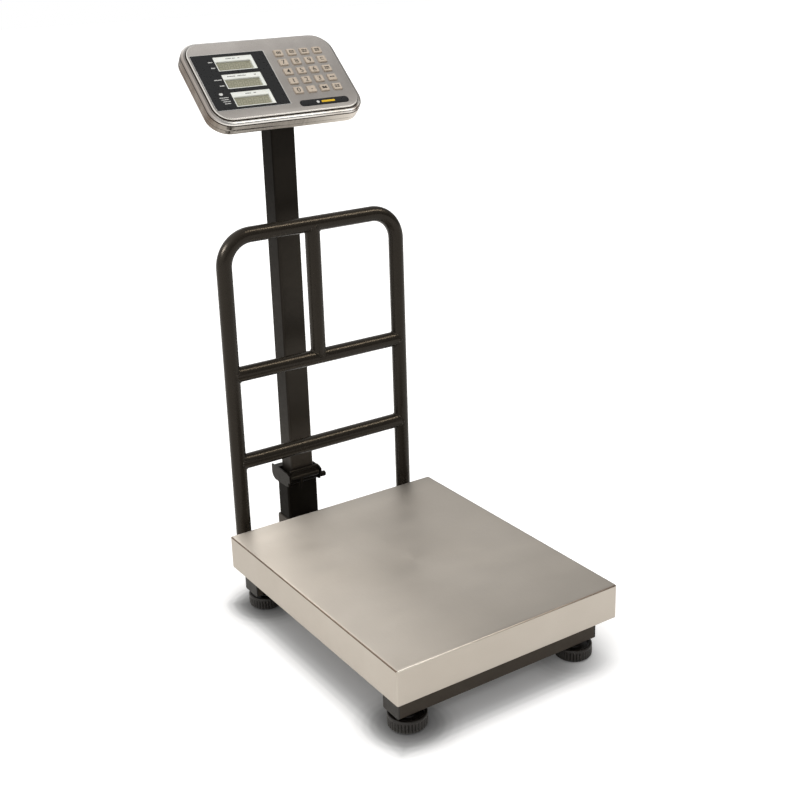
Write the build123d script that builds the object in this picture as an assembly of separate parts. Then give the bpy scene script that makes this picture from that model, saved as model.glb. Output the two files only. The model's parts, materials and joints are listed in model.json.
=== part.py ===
from build123d import *
import os
from math import sin, cos, radians, pi

# Price-computing platform scale: a stainless platter on a welded base, a round
# tube guard rail behind it, and a folding column that carries a tilting head
# with three displays and twenty keys.
# Modelling axes: x = 0 is the plane of symmetry, y = 0 the middle of the platter,
# +Y runs back towards the column, and the floor lies at z = FLOOR. On export
# everything moves so that the origin is the middle of the footprint, on the floor.
# Lengths are in mm. _X0/_X1 style pairs are limits along an axis, _R a radius,
# _W a width. Cutters run about 1 mm past the faces they open.

# ---------------------------------------------------------- shared dimensions
FLOOR = -4.2
RUN = 0.05  # running clearance of turning parts
TUBE_WALL = 2.5  # spine, outrigger and post

# platter
PLATTER_W, PLATTER_D = 400.0, 500.0
PLATTER_TOP, SKIRT_BOTTOM = 121.6, 66.2
SHEET = 1.5

# cross beams, spine and outrigger
BEAM_X = 180.0
BEAM_W, BEAM_H, BEAM_Z0 = 40.0, 38.0, 23.5
BEAM_HALF, BEAM_Z1 = BEAM_W / 2, BEAM_Z0 + BEAM_H
BEAM_WALL, BEAM_R = 2.0, 2.5
FRONT_Y, REAR_Y = -204.0, 222.0
BEAM_BACK = REAR_Y + BEAM_HALF
SPINE_X, SPINE_R = 30.0, 3.0
OUTRIGGER_W, OUTRIGGER_END, OUTRIGGER_Z0, OUTRIGGER_TOP = 60.4, 405.0, 22.0, 56.0
WELD_NUT_ACROSS, WELD_NUT_H = 19.0, 10.0
CAP_T, CAP_PLUG, CAP_FIT, CAP_RIM = 2.5, 12.0, 0.1, 5.0

# levelling feet
FOOT_X = 155.0
FOOT_R, FOOT_TOP, PAD_R, PAD_T = 29.4, 18.0, 25.0, 2.6
PAD_TOP = FLOOR + PAD_T
STUD_R, STUD_TOP = 5.0, 50.0
DISH_R, DISH_DEPTH = 24.0, 5.0
GRIPS, GRIP_R = 36, 1.3

# load cell, fixed at its front end and loaded at its rear end
CELL_X, CELL_Y, CELL_Z0, CELL_Z1 = 20.0, 75.0, 66.0, 98.0
CELL_SEAT = 40.0  # length of the seat at each end
FIXED_BOLT_YS, LOADED_BOLT_YS = (-65.0, -45.0), (45.0, 65.0)
CELL_BOLT_R = 4.0
CELL_BORE_R, CELL_BORE_Y, CELL_SLOT = 10.5, 14.0, 4.0
COUNTERBORE_R, COUNTERBORE_DEPTH = 7.0, 9.0

# signal cable
CABLE_R, CABLE_BEND = 2.2, 8.0
CABLE_X, CABLE_Z, CABLE_CELL_Z = 14.0, 42.0, CELL_Z0 + 10
CABLE_DOWN_Y, CABLE_UP_Y, CABLE_TOP = -88.0, 380.0, 118.0

# platform frame
FRAME_X, FRAME_Y, FRAME_Z0, FRAME_Z1 = 185.0, 235.0, 104.0, 116.0
FRAME_BAR, FRAME_RIB_X, FRAME_R = 22.0, 62.0, 8.0
CELL_GAP = 0.8

# guard rail
RAIL_R, RAIL_WALL = 12.7, 1.5
RAIL_X, RAIL_Y, RAIL_Z0, RAIL_TOP = 162.4, 277.0, 45.0, 617.0
RAIL_BEND, RAIL_BARS = 48.6, (388.5, 235.0)
WEB_X, WEB_Z0, WEB_Z1 = 9.0, 47.0, 57.5
PLATE_X, PLATE_HALF, PLATE_T = RAIL_X - 14, 26.0, 5.0
RAIL_BOLT_XS, RAIL_BOLT_Z = (RAIL_X - 34, RAIL_X - 17), 46.0
RAIL_BOLT_R, RAIL_HOLE_R = 3.0, 3.3

# post, hinge bracket and latch
POST_X = OUTRIGGER_W / 2
POST_Y0, POST_Y1, POST_TOP, POST_R = 361.0, 399.0, 129.0, 3.5
POST_NOTCH_Y, POST_NOTCH_Z = 383.5, 123.0
CHEEK_T = 3.0
PIN_R = 4.0
PIVOT = (403.0, 132.0)  # y, z of each cross pin
STOP = (376.0, 133.7)
CLAMP = (360.0, 131.0)
LEVER = (352.5, 141.0)
LEVER_R, LEVER_ROD_R, LEVER_TOP, LEVER_ROLL_R = 4.5, 2.0, 154.6, 2.2

# folding column
COL_X, COL_Y0, COL_Y1, COL_Z0, COL_Z1 = 22.1, 357.0, 396.0, 140.0, 763.0
COL_WALL, COL_R = 2.0, 4.0
KNUCKLE_R = 7.5


# -------------------------------------------------------------------- helpers
def box(x0, x1, y0, y1, z0, z1):
    return Pos((x0 + x1) / 2, (y0 + y1) / 2, (z0 + z1) / 2) * Box(x1 - x0, y1 - y0, z1 - z0)


def rod_x(radius, x0, x1, y, z):
    return Pos((x0 + x1) / 2, y, z) * Rot(0, 90, 0) * Cylinder(radius, x1 - x0)


def rod_y(radius, y0, y1, x, z):
    return Pos(x, (y0 + y1) / 2, z) * Rot(90, 0, 0) * Cylinder(radius, y1 - y0)


def rod_z(radius, z0, z1, x, y):
    return Pos(x, y, (z0 + z1) / 2) * Cylinder(radius, z1 - z0)


def hexagon(across, height):
    """A hexagonal prism standing on z = 0, sized across its flats."""
    return extrude(RegularPolygon(across / 2, 6, major_radius=False), height)


def slab(half_u, half_v, radius, w0, w1, u=0.0, v=0.0):
    """A rounded rectangle centred on u, v and running from w0 to w1."""
    return Pos(u, v, w0) * extrude(RectangleRounded(2 * half_u, 2 * half_v, radius), w1 - w0)


def round_along(shape, axis, radius):
    return fillet(shape.edges().filter_by(axis), radius)


def edges_at(shape, z, tol=0.01):
    """The edges that lie wholly at height z."""
    found = []
    for edge in shape.edges():
        bounds = edge.bounding_box()
        if abs(bounds.min.Z - z) < tol and abs(bounds.max.Z - z) < tol:
            found.append(edge)
    return found


def group(*shapes):
    """Separate solids kept together as one node."""
    return Compound([solid for shape in shapes for solid in shape.solids()])


# -------------------------------------------------------------- base weldment
def cross_beam(y):
    beam = box(-BEAM_X, BEAM_X, y - BEAM_HALF, y + BEAM_HALF, BEAM_Z0, BEAM_Z1)
    beam = round_along(beam, Axis.X, BEAM_R)
    inner = BEAM_HALF - BEAM_WALL
    floor = BEAM_Z0 + BEAM_WALL
    beam -= box(-BEAM_X - 1, BEAM_X + 1, y - inner, y + inner, floor, BEAM_Z1 - BEAM_WALL)
    for side in (-1, 1):
        # weld nut inside the beam over each foot
        x = side * FOOT_X
        beam += Pos(x, y, floor - 0.5) * hexagon(WELD_NUT_ACROSS, WELD_NUT_H + 0.5)
        beam -= rod_z(STUD_R + RUN, BEAM_Z0 - 1, floor + WELD_NUT_H + 1, x, y)
    return beam


def rear_cross_beam():
    """The cross beam with holes for the cable and the rail bolts."""
    beam = cross_beam(REAR_Y) - rod_y(4.0, REAR_Y - 25, REAR_Y + 25, CABLE_X, CABLE_Z)
    for side in (-1, 1):
        for x in RAIL_BOLT_XS:
            beam -= rod_y(RAIL_HOLE_R, BEAM_BACK - 5, BEAM_BACK + 1, side * x, RAIL_BOLT_Z)
    return beam


def base_spine():
    """Tube between the cross beams, with the seat of the load cell's fixed end."""
    spine = box(-SPINE_X, SPINE_X, FRONT_Y + BEAM_HALF, REAR_Y - BEAM_HALF, BEAM_Z0, BEAM_Z1)
    spine = round_along(spine, Axis.Y, SPINE_R)
    inner = SPINE_X - TUBE_WALL
    spine -= box(-inner, inner, FRONT_Y, REAR_Y, BEAM_Z0 + TUBE_WALL, BEAM_Z1 - TUBE_WALL)
    spine += box(-CELL_X, CELL_X, -CELL_Y, -CELL_Y + CELL_SEAT, BEAM_Z1 - 1, CELL_Z0)
    for y in FIXED_BOLT_YS:
        spine -= rod_z(CELL_BOLT_R, BEAM_Z1 - 4, CELL_Z0 + 1, 0, y)
    spine -= rod_z(3.4, BEAM_Z1 - 4, BEAM_Z1 + 1, CABLE_X, CABLE_DOWN_Y)
    return spine


def rear_outrigger():
    half = OUTRIGGER_W / 2
    tube = box(-half, half, BEAM_BACK, OUTRIGGER_END, OUTRIGGER_Z0, OUTRIGGER_TOP)
    tube = round_along(tube, Axis.Y, SPINE_R)
    inner = half - TUBE_WALL
    tube -= box(-inner, inner, REAR_Y, OUTRIGGER_END - TUBE_WALL,
                OUTRIGGER_Z0 + TUBE_WALL, OUTRIGGER_TOP - TUBE_WALL)
    tube -= rod_z(5.0, OUTRIGGER_TOP - 4, OUTRIGGER_TOP + 1, CABLE_X, CABLE_UP_Y)
    return tube


def beam_end_caps():
    """A cover plate on each beam end, with a hollow plug reaching into the beam."""
    cap = box(-CAP_T / 2, CAP_T / 2, -BEAM_HALF, BEAM_HALF, BEAM_Z0, BEAM_Z1)
    cap = round_along(cap, Axis.X, BEAM_R)
    inset = BEAM_WALL + CAP_FIT
    cap += box(-CAP_PLUG, 0, -BEAM_HALF + inset, BEAM_HALF - inset,
               BEAM_Z0 + inset, BEAM_Z1 - inset)
    cap -= box(-CAP_PLUG - 1, -1, -BEAM_HALF + CAP_RIM, BEAM_HALF - CAP_RIM,
               BEAM_Z0 + CAP_RIM, BEAM_Z1 - CAP_RIM)
    right = Pos(BEAM_X + CAP_T / 2, 0, 0) * cap
    left = mirror(right, Plane.YZ)
    return group(*[Pos(0, y, 0) * side for y in (FRONT_Y, REAR_Y) for side in (left, right)])


# ------------------------------------------------------------ load cell, cable
def load_cell():
    cell = box(-CELL_X, CELL_X, -CELL_Y, CELL_Y, CELL_Z0, CELL_Z1)
    z = (CELL_Z0 + CELL_Z1) / 2
    # two bores joined by a slot leave thin bending beams above and below
    cell -= (rod_x(CELL_BORE_R, -30, 30, -CELL_BORE_Y, z)
             + rod_x(CELL_BORE_R, -30, 30, CELL_BORE_Y, z)
             + box(-30, 30, -CELL_BORE_Y, CELL_BORE_Y, z - CELL_SLOT, z + CELL_SLOT))
    for y in FIXED_BOLT_YS:
        cell -= (rod_z(4.4, CELL_Z0 - 1, CELL_Z1 + 1, 0, y)
                 + rod_z(COUNTERBORE_R, CELL_Z1 - COUNTERBORE_DEPTH, CELL_Z1 + 1, 0, y))
    for y in LOADED_BOLT_YS:
        cell -= rod_z(4.6, CELL_Z0 - 1, CELL_Z1 + 1, 0, y)
    cell -= rod_y(CABLE_R + 0.2, -CELL_Y - 1, -CELL_Y + 6, CABLE_X, CABLE_CELL_Z)
    return cell


def load_cell_bolts():
    """Socket head bolts, their heads sunk in the counterbores."""
    bolts = []
    head_z0 = CELL_Z1 - COUNTERBORE_DEPTH
    for y in FIXED_BOLT_YS:
        bolt = rod_z(CELL_BOLT_R, BEAM_Z1 - 3.5, head_z0 + 1, 0, y)
        bolt += rod_z(6.5, head_z0, CELL_Z1 - 1, 0, y)
        bolt -= Pos(0, y, CELL_Z1 - 5) * hexagon(6.0, 5.0)
        bolts.append(bolt)
    return group(*bolts)


def signal_cable():
    """Out of the fixed end of the cell, down into the spine, back and up the post."""
    points = [
        (CABLE_X, -CELL_Y + 5, CABLE_CELL_Z),
        (CABLE_X, CABLE_DOWN_Y, CABLE_CELL_Z),
        (CABLE_X, CABLE_DOWN_Y, CABLE_Z),
        (CABLE_X, CABLE_UP_Y, CABLE_Z),
        (CABLE_X, CABLE_UP_Y, CABLE_TOP),
    ]
    path = FilletPolyline(*points, radius=CABLE_BEND)
    return sweep(Plane(origin=points[0], z_dir=(0, -1, 0)) * Circle(CABLE_R), path=path)


# ----------------------------------------------------------- platform, platter
def platform_frame():
    """Open frame with two ribs and a cross plate over the cell's loaded end."""
    inner_x, inner_y = FRAME_X - FRAME_BAR, FRAME_Y - FRAME_BAR
    frame = box(-FRAME_X, FRAME_X, -FRAME_Y, FRAME_Y, FRAME_Z0, FRAME_Z1)
    frame -= box(-inner_x, inner_x, -inner_y, inner_y, FRAME_Z0 - 1, FRAME_Z1 + 1)
    for x in (-FRAME_RIB_X, FRAME_RIB_X):
        frame += box(x - FRAME_BAR / 2, x + FRAME_BAR / 2, -FRAME_Y + 10, FRAME_Y - 10,
                     FRAME_Z0, FRAME_Z1)
    frame += box(-70, 70, 28, 84, FRAME_Z0, FRAME_Z0 + 8)
    frame += box(-CELL_X, CELL_X, CELL_Y - CELL_SEAT, CELL_Y, CELL_Z1 + CELL_GAP, FRAME_Z0 + 1)
    for y in LOADED_BOLT_YS:
        frame += rod_z(CELL_BOLT_R, CELL_Z0 + 8, FRAME_Z0 + 1, 0, y)

    def is_outer_corner(edge):
        centre = edge.center()
        return abs(abs(centre.X) - FRAME_X) < 1 and abs(abs(centre.Y) - FRAME_Y) < 1

    return fillet(frame.edges().filter_by(Axis.Z).filter_by(is_outer_corner), FRAME_R)


def platform_pads():
    """A pad with a blind hole from above on each corner of the frame."""
    pads = []
    for side_x in (-1, 1):
        for side_y in (-1, 1):
            x = side_x * (FRAME_X - FRAME_BAR / 2)
            y = side_y * (FRAME_Y - FRAME_BAR / 2)
            pads.append(rod_z(12.0, FRAME_Z1, PLATTER_TOP - SHEET, x, y)
                        - rod_z(4.0, FRAME_Z1 + 1.6, PLATTER_TOP, x, y))
    return group(*pads)


def platter_cover():
    half_x, half_y = PLATTER_W / 2, PLATTER_D / 2
    cover = box(-half_x, half_x, -half_y, half_y, SKIRT_BOTTOM, PLATTER_TOP)
    cover = round_along(cover, Axis.Z, 2.0)
    cover = fillet(edges_at(cover, PLATTER_TOP), 1.4)
    cover -= box(-half_x + SHEET, half_x - SHEET, -half_y + SHEET, half_y - SHEET,
                 SKIRT_BOTTOM - 1, PLATTER_TOP - SHEET)
    return cover


# ------------------------------------------------------------- levelling feet
def foot_pad(x, y):
    pad = rod_z(PAD_R, FLOOR, PAD_TOP, x, y)
    pad = chamfer(edges_at(pad, FLOOR), 0.6)
    pad += rod_z(4.0, PAD_TOP - 0.5, PAD_TOP + 7, x, y)
    return pad


def foot_wheel(x, y):
    """Grooved hand wheel with its stud."""
    z0 = PAD_TOP + RUN
    wheel = rod_z(FOOT_R, z0, FOOT_TOP, x, y)
    wheel = chamfer(edges_at(wheel, FOOT_TOP) + edges_at(wheel, z0), 1.2)
    # dished top round a raised hub
    dish_z = FOOT_TOP - DISH_DEPTH
    wheel -= rod_z(DISH_R, dish_z, FOOT_TOP + 1, x, y) - rod_z(10.0, dish_z, FOOT_TOP + 1, x, y)
    wheel += rod_z(8.5, FOOT_TOP - 1, FOOT_TOP + 1.6, x, y)
    wheel -= rod_z(4.1, PAD_TOP - 1, PAD_TOP + 8, x, y)
    wheel += rod_z(STUD_R, FOOT_TOP, STUD_TOP, x, y)
    ring = FOOT_R + 0.5
    for k in range(GRIPS):
        angle = 2 * pi * k / GRIPS
        wheel -= rod_z(GRIP_R, PAD_TOP - 1, FOOT_TOP - 3.5,
                       x + ring * cos(angle), y + ring * sin(angle))
    return wheel


# ----------------------------------------------------------------- guard rail
def rail_body(radius, z0):
    """Solid hoop with cross bars and a centre upright; legs start at z0."""
    def at(x, z):
        return (x, RAIL_Y, z)

    bend_z, bend_x = RAIL_TOP - RAIL_BEND, RAIL_X - RAIL_BEND
    inset = RAIL_BEND * (1 - cos(radians(45)))  # of the middle of the bend
    mid_x, mid_z = RAIL_X - inset, RAIL_TOP - inset
    path = Wire([
        Line(at(-RAIL_X, z0), at(-RAIL_X, bend_z)),
        ThreePointArc(at(-RAIL_X, bend_z), at(-mid_x, mid_z), at(-bend_x, RAIL_TOP)),
        Line(at(-bend_x, RAIL_TOP), at(bend_x, RAIL_TOP)),
        ThreePointArc(at(bend_x, RAIL_TOP), at(mid_x, mid_z), at(RAIL_X, bend_z)),
        Line(at(RAIL_X, bend_z), at(RAIL_X, z0)),
    ])
    body = sweep(Plane(origin=at(-RAIL_X, z0), z_dir=(0, 0, 1)) * Circle(radius), path=path)
    for z in RAIL_BARS:
        body += rod_x(radius, -RAIL_X, RAIL_X, RAIL_Y, z)
    body += rod_z(radius, RAIL_BARS[0], RAIL_TOP, 0, RAIL_Y)
    return body


def guard_rail():
    pieces = [rail_body(RAIL_R, RAIL_Z0) - rail_body(RAIL_R - RAIL_WALL, RAIL_Z0 - 1)]
    for side in (-1, 1):
        # bolting plate on the back of the rear beam, and the web out to the leg
        plate_x, leg_x = side * PLATE_X, side * RAIL_X
        foot = box(plate_x - PLATE_HALF, plate_x + PLATE_HALF, BEAM_BACK, BEAM_BACK + PLATE_T,
                   BEAM_Z0 + 1, BEAM_Z1 - 1)
        foot += box(leg_x - WEB_X, leg_x + WEB_X, BEAM_BACK + PLATE_T - 1, RAIL_Y,
                    WEB_Z0, WEB_Z1)
        foot -= rod_z(RAIL_R, WEB_Z0 - 1, WEB_Z1 + 1, leg_x, RAIL_Y)
        for x in RAIL_BOLT_XS:
            foot -= rod_y(RAIL_HOLE_R, BEAM_BACK - 1, BEAM_BACK + PLATE_T + 1,
                          side * x, RAIL_BOLT_Z)
        pieces.append(foot)
    return group(*pieces)


def rail_bolts():
    bolts = []
    head_y = BEAM_BACK + PLATE_T
    for side in (-1, 1):
        for bolt_x in RAIL_BOLT_XS:
            x = side * bolt_x
            bolt = rod_y(RAIL_BOLT_R, BEAM_BACK - 8, head_y + 1, x, RAIL_BOLT_Z)
            bolt += Pos(x, head_y, RAIL_BOLT_Z) * Rot(-90, 0, 0) * hexagon(10.0, 4.0)
            bolts.append(bolt)
    return group(*bolts)


# ------------------------------------------------------- post, bracket, hinge
def lower_post():
    post = box(-POST_X, POST_X, POST_Y0, POST_Y1, OUTRIGGER_TOP, POST_TOP)
    post = round_along(post, Axis.Z, POST_R)
    inner = POST_X - TUBE_WALL
    post -= box(-inner, inner, POST_Y0 + TUBE_WALL, POST_Y1 - TUBE_WALL,
                OUTRIGGER_TOP - 1, POST_TOP + 1)
    post -= box(-POST_X - 1, POST_X + 1, POST_NOTCH_Y, POST_Y1 + 1, POST_NOTCH_Z, POST_TOP + 1)
    post -= rod_x(5.0, -POST_X - 1, POST_X + 1, *CLAMP)
    return post


def cheek(x0):
    """One side plate, drawn in y, z: stepped at the front, rounded below at the rear."""
    arc_start, arc_end = (414.0, 139.0), (400.0, 125.0)
    with BuildSketch(Plane.YZ) as outline:
        with BuildLine():
            Polyline((353.0, 127.0), (353.0, 134.5), (347.5, 134.5), (347.5, 148.0),
                     (356.0, 151.5), (414.0, 151.5), arc_start)
            RadiusArc(arc_start, arc_end, 14.0)
            Polyline(arc_end, (364.0, 125.0), (353.0, 127.0))
        make_face()
    return Pos(x0, 0, 0) * extrude(outline.sketch, CHEEK_T)


def hinge_bracket():
    bracket = cheek(POST_X) + cheek(-POST_X - CHEEK_T)
    # rod that carries the latch lever, welded between the cheeks
    bracket += rod_x(LEVER_ROD_R, -POST_X - 1, POST_X + 1, *LEVER)
    for place, radius in ((PIVOT, PIN_R), (STOP, PIN_R), (CLAMP, PIN_R + RUN)):
        bracket -= rod_x(radius, -POST_X - 5, POST_X + 5, *place)
    return bracket


def hinge_pins():
    end = POST_X + CHEEK_T
    return group(*[rod_x(PIN_R, -end, end, *place) for place in (PIVOT, STOP)])


def clamp_bolt():
    """Shank across both cheeks, rounded grip on the right."""
    shank = rod_x(PIN_R, -POST_X - CHEEK_T, 40.0, *CLAMP)
    grip = rod_x(5.0, 36.5, 47.0, *CLAMP)
    return shank + fillet(grip.edges(), 2.2)


def latch_lever():
    """Barrel on the rod, upright finger plate with a rolled edge, leaf below."""
    half = POST_X - 1.6
    y, z = LEVER
    lever = rod_x(LEVER_R, -half, half, y, z)
    lever += box(-half, half, y - 0.9, y + 1.6, z, LEVER_TOP)
    lever += rod_x(LEVER_ROLL_R, -half, half, y - 0.2, LEVER_TOP)
    lever += box(-11.0, -5.5, y - 4.4, y - 2.8, 121.5, z)
    lever -= rod_x(LEVER_ROD_R + RUN, -half - 1, half + 1, y, z)
    return lever


# ------------------------------------------------------------- folding column
def column_section(inset, z0, z1, radius):
    """A block of the column's section, inset all round."""
    block = box(-COL_X + inset, COL_X - inset, COL_Y0 + inset, COL_Y1 - inset, z0, z1)
    return round_along(block, Axis.Z, radius)


def column_tube():
    return (column_section(0, COL_Z0, COL_Z1, COL_R)
            - column_section(COL_WALL, COL_Z0 - 1, COL_Z1 + 1, COL_R - COL_WALL))


def column_plug(z0, z1):
    return column_section(COL_WALL + 0.1, z0, z1, COL_R - COL_WALL)


def column_knuckle():
    """Plug in the foot of the tube with a lug running back to the pivot."""
    y, z = PIVOT
    knuckle = column_plug(138.0, 176.0)
    knuckle += box(-19.4, 19.4, 384.0, y, z - KNUCKLE_R, 139.0)
    knuckle += rod_x(KNUCKLE_R, -POST_X + 0.4, POST_X - 0.4, y, z)
    # rounded block behind the tube, filling the space between the cheeks
    block = box(-POST_X + 0.6, POST_X - 0.6, COL_Y1, 412.5, 134.0, 150.8)
    rear_edges = [e for e in block.edges().filter_by(Axis.X) if e.center().Y > 405]
    knuckle += fillet(rear_edges, 3.0)
    knuckle -= rod_x(PIN_R + RUN, -POST_X - 1, POST_X + 1, y, z)
    return knuckle


# ----------------------------------------------------------------------- head
# Head pieces are built in local axes and placed by HEAD:
# u = +X, v = up the face, w = out of the face, w = 0 on the face.
HEAD_Y, HEAD_Z = 378.5, 847.0
TILT = radians(48.7)  # of the face from the vertical
HEAD = Plane(origin=(0, HEAD_Y, HEAD_Z), x_dir=(1, 0, 0),
             z_dir=(0, -cos(TILT), sin(TILT))).location
FACE_U, FACE_V, FACE_R = 132.5, 81.5, 29.0
CASE_U, CASE_V, CASE_R = 140.5, 89.0, 36.0
LEDGE_W, SEAM_W, REAR_W = -4.0, -20.0, -30.0
WALL = 2.0
REAR_INNER = REAR_W + WALL
SCREWS = [(u, v) for u in (-119.0, 119.0) for v in (-70.0, 70.0)]
# overlay panel recess, limited to u < PANEL_U1
PANEL_U1, PANEL_V0, PANEL_V1, PANEL_DEPTH, PANEL_INSET = 4.6, -62.9, 57.0, 1.0, 3.5
BADGE_U, BADGE_V, BADGE_W, BADGE_H, BADGE_DEPTH = 65.5, -65.0, 92.0, 13.0, 0.6
# display windows, and the glass within each, placed down from the window top
WIN_U0, WIN_U1, WIN_H = -90.5, -19.5, 31.5
WINDOW_TOPS = [51.0 - k * 38.3 for k in range(3)]
LCD_U0, LCD_U1, LCD_DROP, LCD_H = -88.0, -25.5, 10.5, 18.5
# keys
KEY_ROWS = ("fn1 fn2 fn3 fn4", "7 8 9 fn5", "4 5 6 fn6", "1 2 3 fn7", "0 point fn8 fn9")
KEY_U0, KEY_V0, KEY_DU, KEY_DV = 29.0, 46.3, 24.5, 20.9
KEY_W, KEY_H, KEY_TOP, KEY_R = 16.0, 14.0, 2.5, 1.8
KEY_PLACES = {
    label: (KEY_U0 + column * KEY_DU, KEY_V0 - row * KEY_DV)
    for row, labels in enumerate(KEY_ROWS) for column, label in enumerate(labels.split())
}
# circuit boards
BOARD_T, MAIN_TOP, KEYPAD_TOP = 1.6, -8.5, -6.0
# posts behind the face: radius, w of the tip, u places, v places
BOARD_POSTS = (
    (2.6, MAIN_TOP, (-97.0, -11.0), (54.0, -61.0)),
    (2.4, KEYPAD_TOP, (16.6, 115.0), (57.0, -49.5)),
)
JACK_U, JACK_V = -88.0, -48.0
# rear bulge round the battery
BULGE_U, BULGE_V0, BULGE_V1, BULGE_W, BULGE_R = 58.5, -0.5, 64.5, -52.0, 7.0
SWITCH_U, SWITCH_V, SWITCH_W, SWITCH_R = 100.0, -48.0, -27.0, 9.8
# tilt joint: a tongue on the column between two ears on the rear housing
TILT_V, TILT_W, TILT_BOSS = -40.0, -46.0, 10.0
TONGUE_X, EAR_T = 12.4, 5.0
EAR_X0 = TONGUE_X + 0.2
EAR_X1 = EAR_X0 + EAR_T


def head_bracket():
    """Plug and cap on the column, tongue up to the tilt pivot."""
    y = HEAD_Y + sin(TILT) * TILT_V - cos(TILT) * TILT_W
    z = HEAD_Z + cos(TILT) * TILT_V + sin(TILT) * TILT_W
    bracket = column_plug(COL_Z1 - 28, COL_Z1)
    bracket += column_section(0, COL_Z1, COL_Z1 + 3, COL_R)
    bracket += box(-TONGUE_X, TONGUE_X, y - TILT_BOSS, y + TILT_BOSS, COL_Z1 + 2, z)
    bracket += rod_x(TILT_BOSS, -TONGUE_X, TONGUE_X, y, z)
    bracket -= rod_x(PIN_R + RUN, -13, 13, y, z)
    return bracket


def case_slab(inset, w0, w1):
    return slab(CASE_U - inset, CASE_V - inset, CASE_R - inset, w0, w1)


def face_slab(inset, w0, w1):
    return slab(FACE_U - inset, FACE_V - inset, FACE_R - inset, w0, w1)


def bulge_slab(inset, w0, w1):
    return slab(BULGE_U - inset, (BULGE_V1 - BULGE_V0) / 2 - inset, BULGE_R - inset,
                w0, w1, 0, (BULGE_V0 + BULGE_V1) / 2)


def badge_slab(inset, w1):
    return slab(BADGE_W / 2 - inset, BADGE_H / 2 - inset, BADGE_H / 2 - 0.1 - inset,
                -BADGE_DEPTH, w1, BADGE_U, BADGE_V)


def panel_slab(thickness):
    outline = RectangleRounded(2 * (FACE_U - PANEL_INSET), 2 * (FACE_V - PANEL_INSET),
                               FACE_R - PANEL_INSET)
    left = -150  # beyond the face
    limit = Pos((PANEL_U1 + left) / 2, (PANEL_V0 + PANEL_V1) / 2) * Rectangle(
        PANEL_U1 - left, PANEL_V1 - PANEL_V0)
    return Pos(0, 0, -PANEL_DEPTH) * extrude(outline & limit, thickness)


def window_box(top, margin, w0, w1):
    """A display window grown by margin all round."""
    return box(WIN_U0 - margin, WIN_U1 + margin, top - WIN_H - margin, top + margin, w0, w1)


def glass_box(top, w0, w1):
    return box(LCD_U0, LCD_U1, top - LCD_DROP - LCD_H, top - LCD_DROP, w0, w1)


def front_housing():
    shell = case_slab(0, SEAM_W, LEDGE_W)
    shell = fillet(edges_at(shell, LEDGE_W), 5.0)
    shell += fillet(edges_at(face_slab(0, LEDGE_W - 1, 0), 0), 1.5)
    hollow = case_slab(1.6, SEAM_W - 1, LEDGE_W - WALL)
    hollow = fillet(edges_at(hollow, LEDGE_W - WALL), 3.4)
    hollow += face_slab(WALL, LEDGE_W - WALL - 2, -WALL)
    shell -= hollow
    for u, v in SCREWS:
        shell += rod_z(4.5, REAR_INNER, -WALL + 0.5, u, v)
        shell -= rod_z(1.4, REAR_INNER - 1, -12, u, v)
    for radius, tip, post_us, post_vs in BOARD_POSTS:
        for u in post_us:
            for v in post_vs:
                shell += rod_z(radius, tip, -WALL + 0.5, u, v)
    shell -= panel_slab(2.0)
    shell -= badge_slab(0, 1.0)
    for top in WINDOW_TOPS:
        shell -= window_box(top, 0, -WALL - 1, 1)
    for u, v in KEY_PLACES.values():
        shell -= slab(KEY_W / 2 + 0.3, KEY_H / 2 + 0.3, 2.0, -WALL - 1, 1, u, v)
    return shell


def front_overlays():
    """Panel round the display windows, and the badge strip."""
    panel = panel_slab(0.9)
    for top in WINDOW_TOPS:
        panel -= window_box(top, 0, -2, 1)
    return group(panel, badge_slab(0.1, 0.3))


def lcd_bezels():
    bezels = []
    for top in WINDOW_TOPS:
        bezel = window_box(top, -0.2, -4.0, -PANEL_DEPTH)
        bezel += window_box(top, 2, -3.4, -WALL)
        bezel -= glass_box(top, -5, 0)
        bezels.append(bezel)
    return group(*bezels)


def lcd_modules():
    return group(*[window_box(top, -1, MAIN_TOP, -5.0) + glass_box(top, -5.2, -4.0)
                   for top in WINDOW_TOPS])


def keypad_board():
    board = box(13.0, 118.6, -53.0, 60.0, KEYPAD_TOP - BOARD_T, KEYPAD_TOP)
    for u, v in KEY_PLACES.values():
        board += rod_z(3.0, KEYPAD_TOP - 0.5, -4.7, u, v)
    return board


def main_board():
    """Board with a square block and the jack on its rear side."""
    board = box(-101.0, -7.0, -65.0, 58.0, MAIN_TOP - BOARD_T, MAIN_TOP)
    board += box(-60.0, -30.0, -20.0, 10.0, -12.6, -10.0)
    board += box(JACK_U - 7, JACK_U + 7, JACK_V - 5, JACK_V + 5, REAR_INNER, -10.0)
    board -= rod_z(2.8, REAR_INNER - 1, -16.0, JACK_U, JACK_V)
    board += rod_z(1.05, REAR_INNER + 1, -15.5, JACK_U, JACK_V)
    return board


def battery():
    return round_along(box(-48.5, 48.5, 4.5, 55.5, BULGE_W + WALL + 0.1, -26.0), Axis.Z, 2.0)


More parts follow.
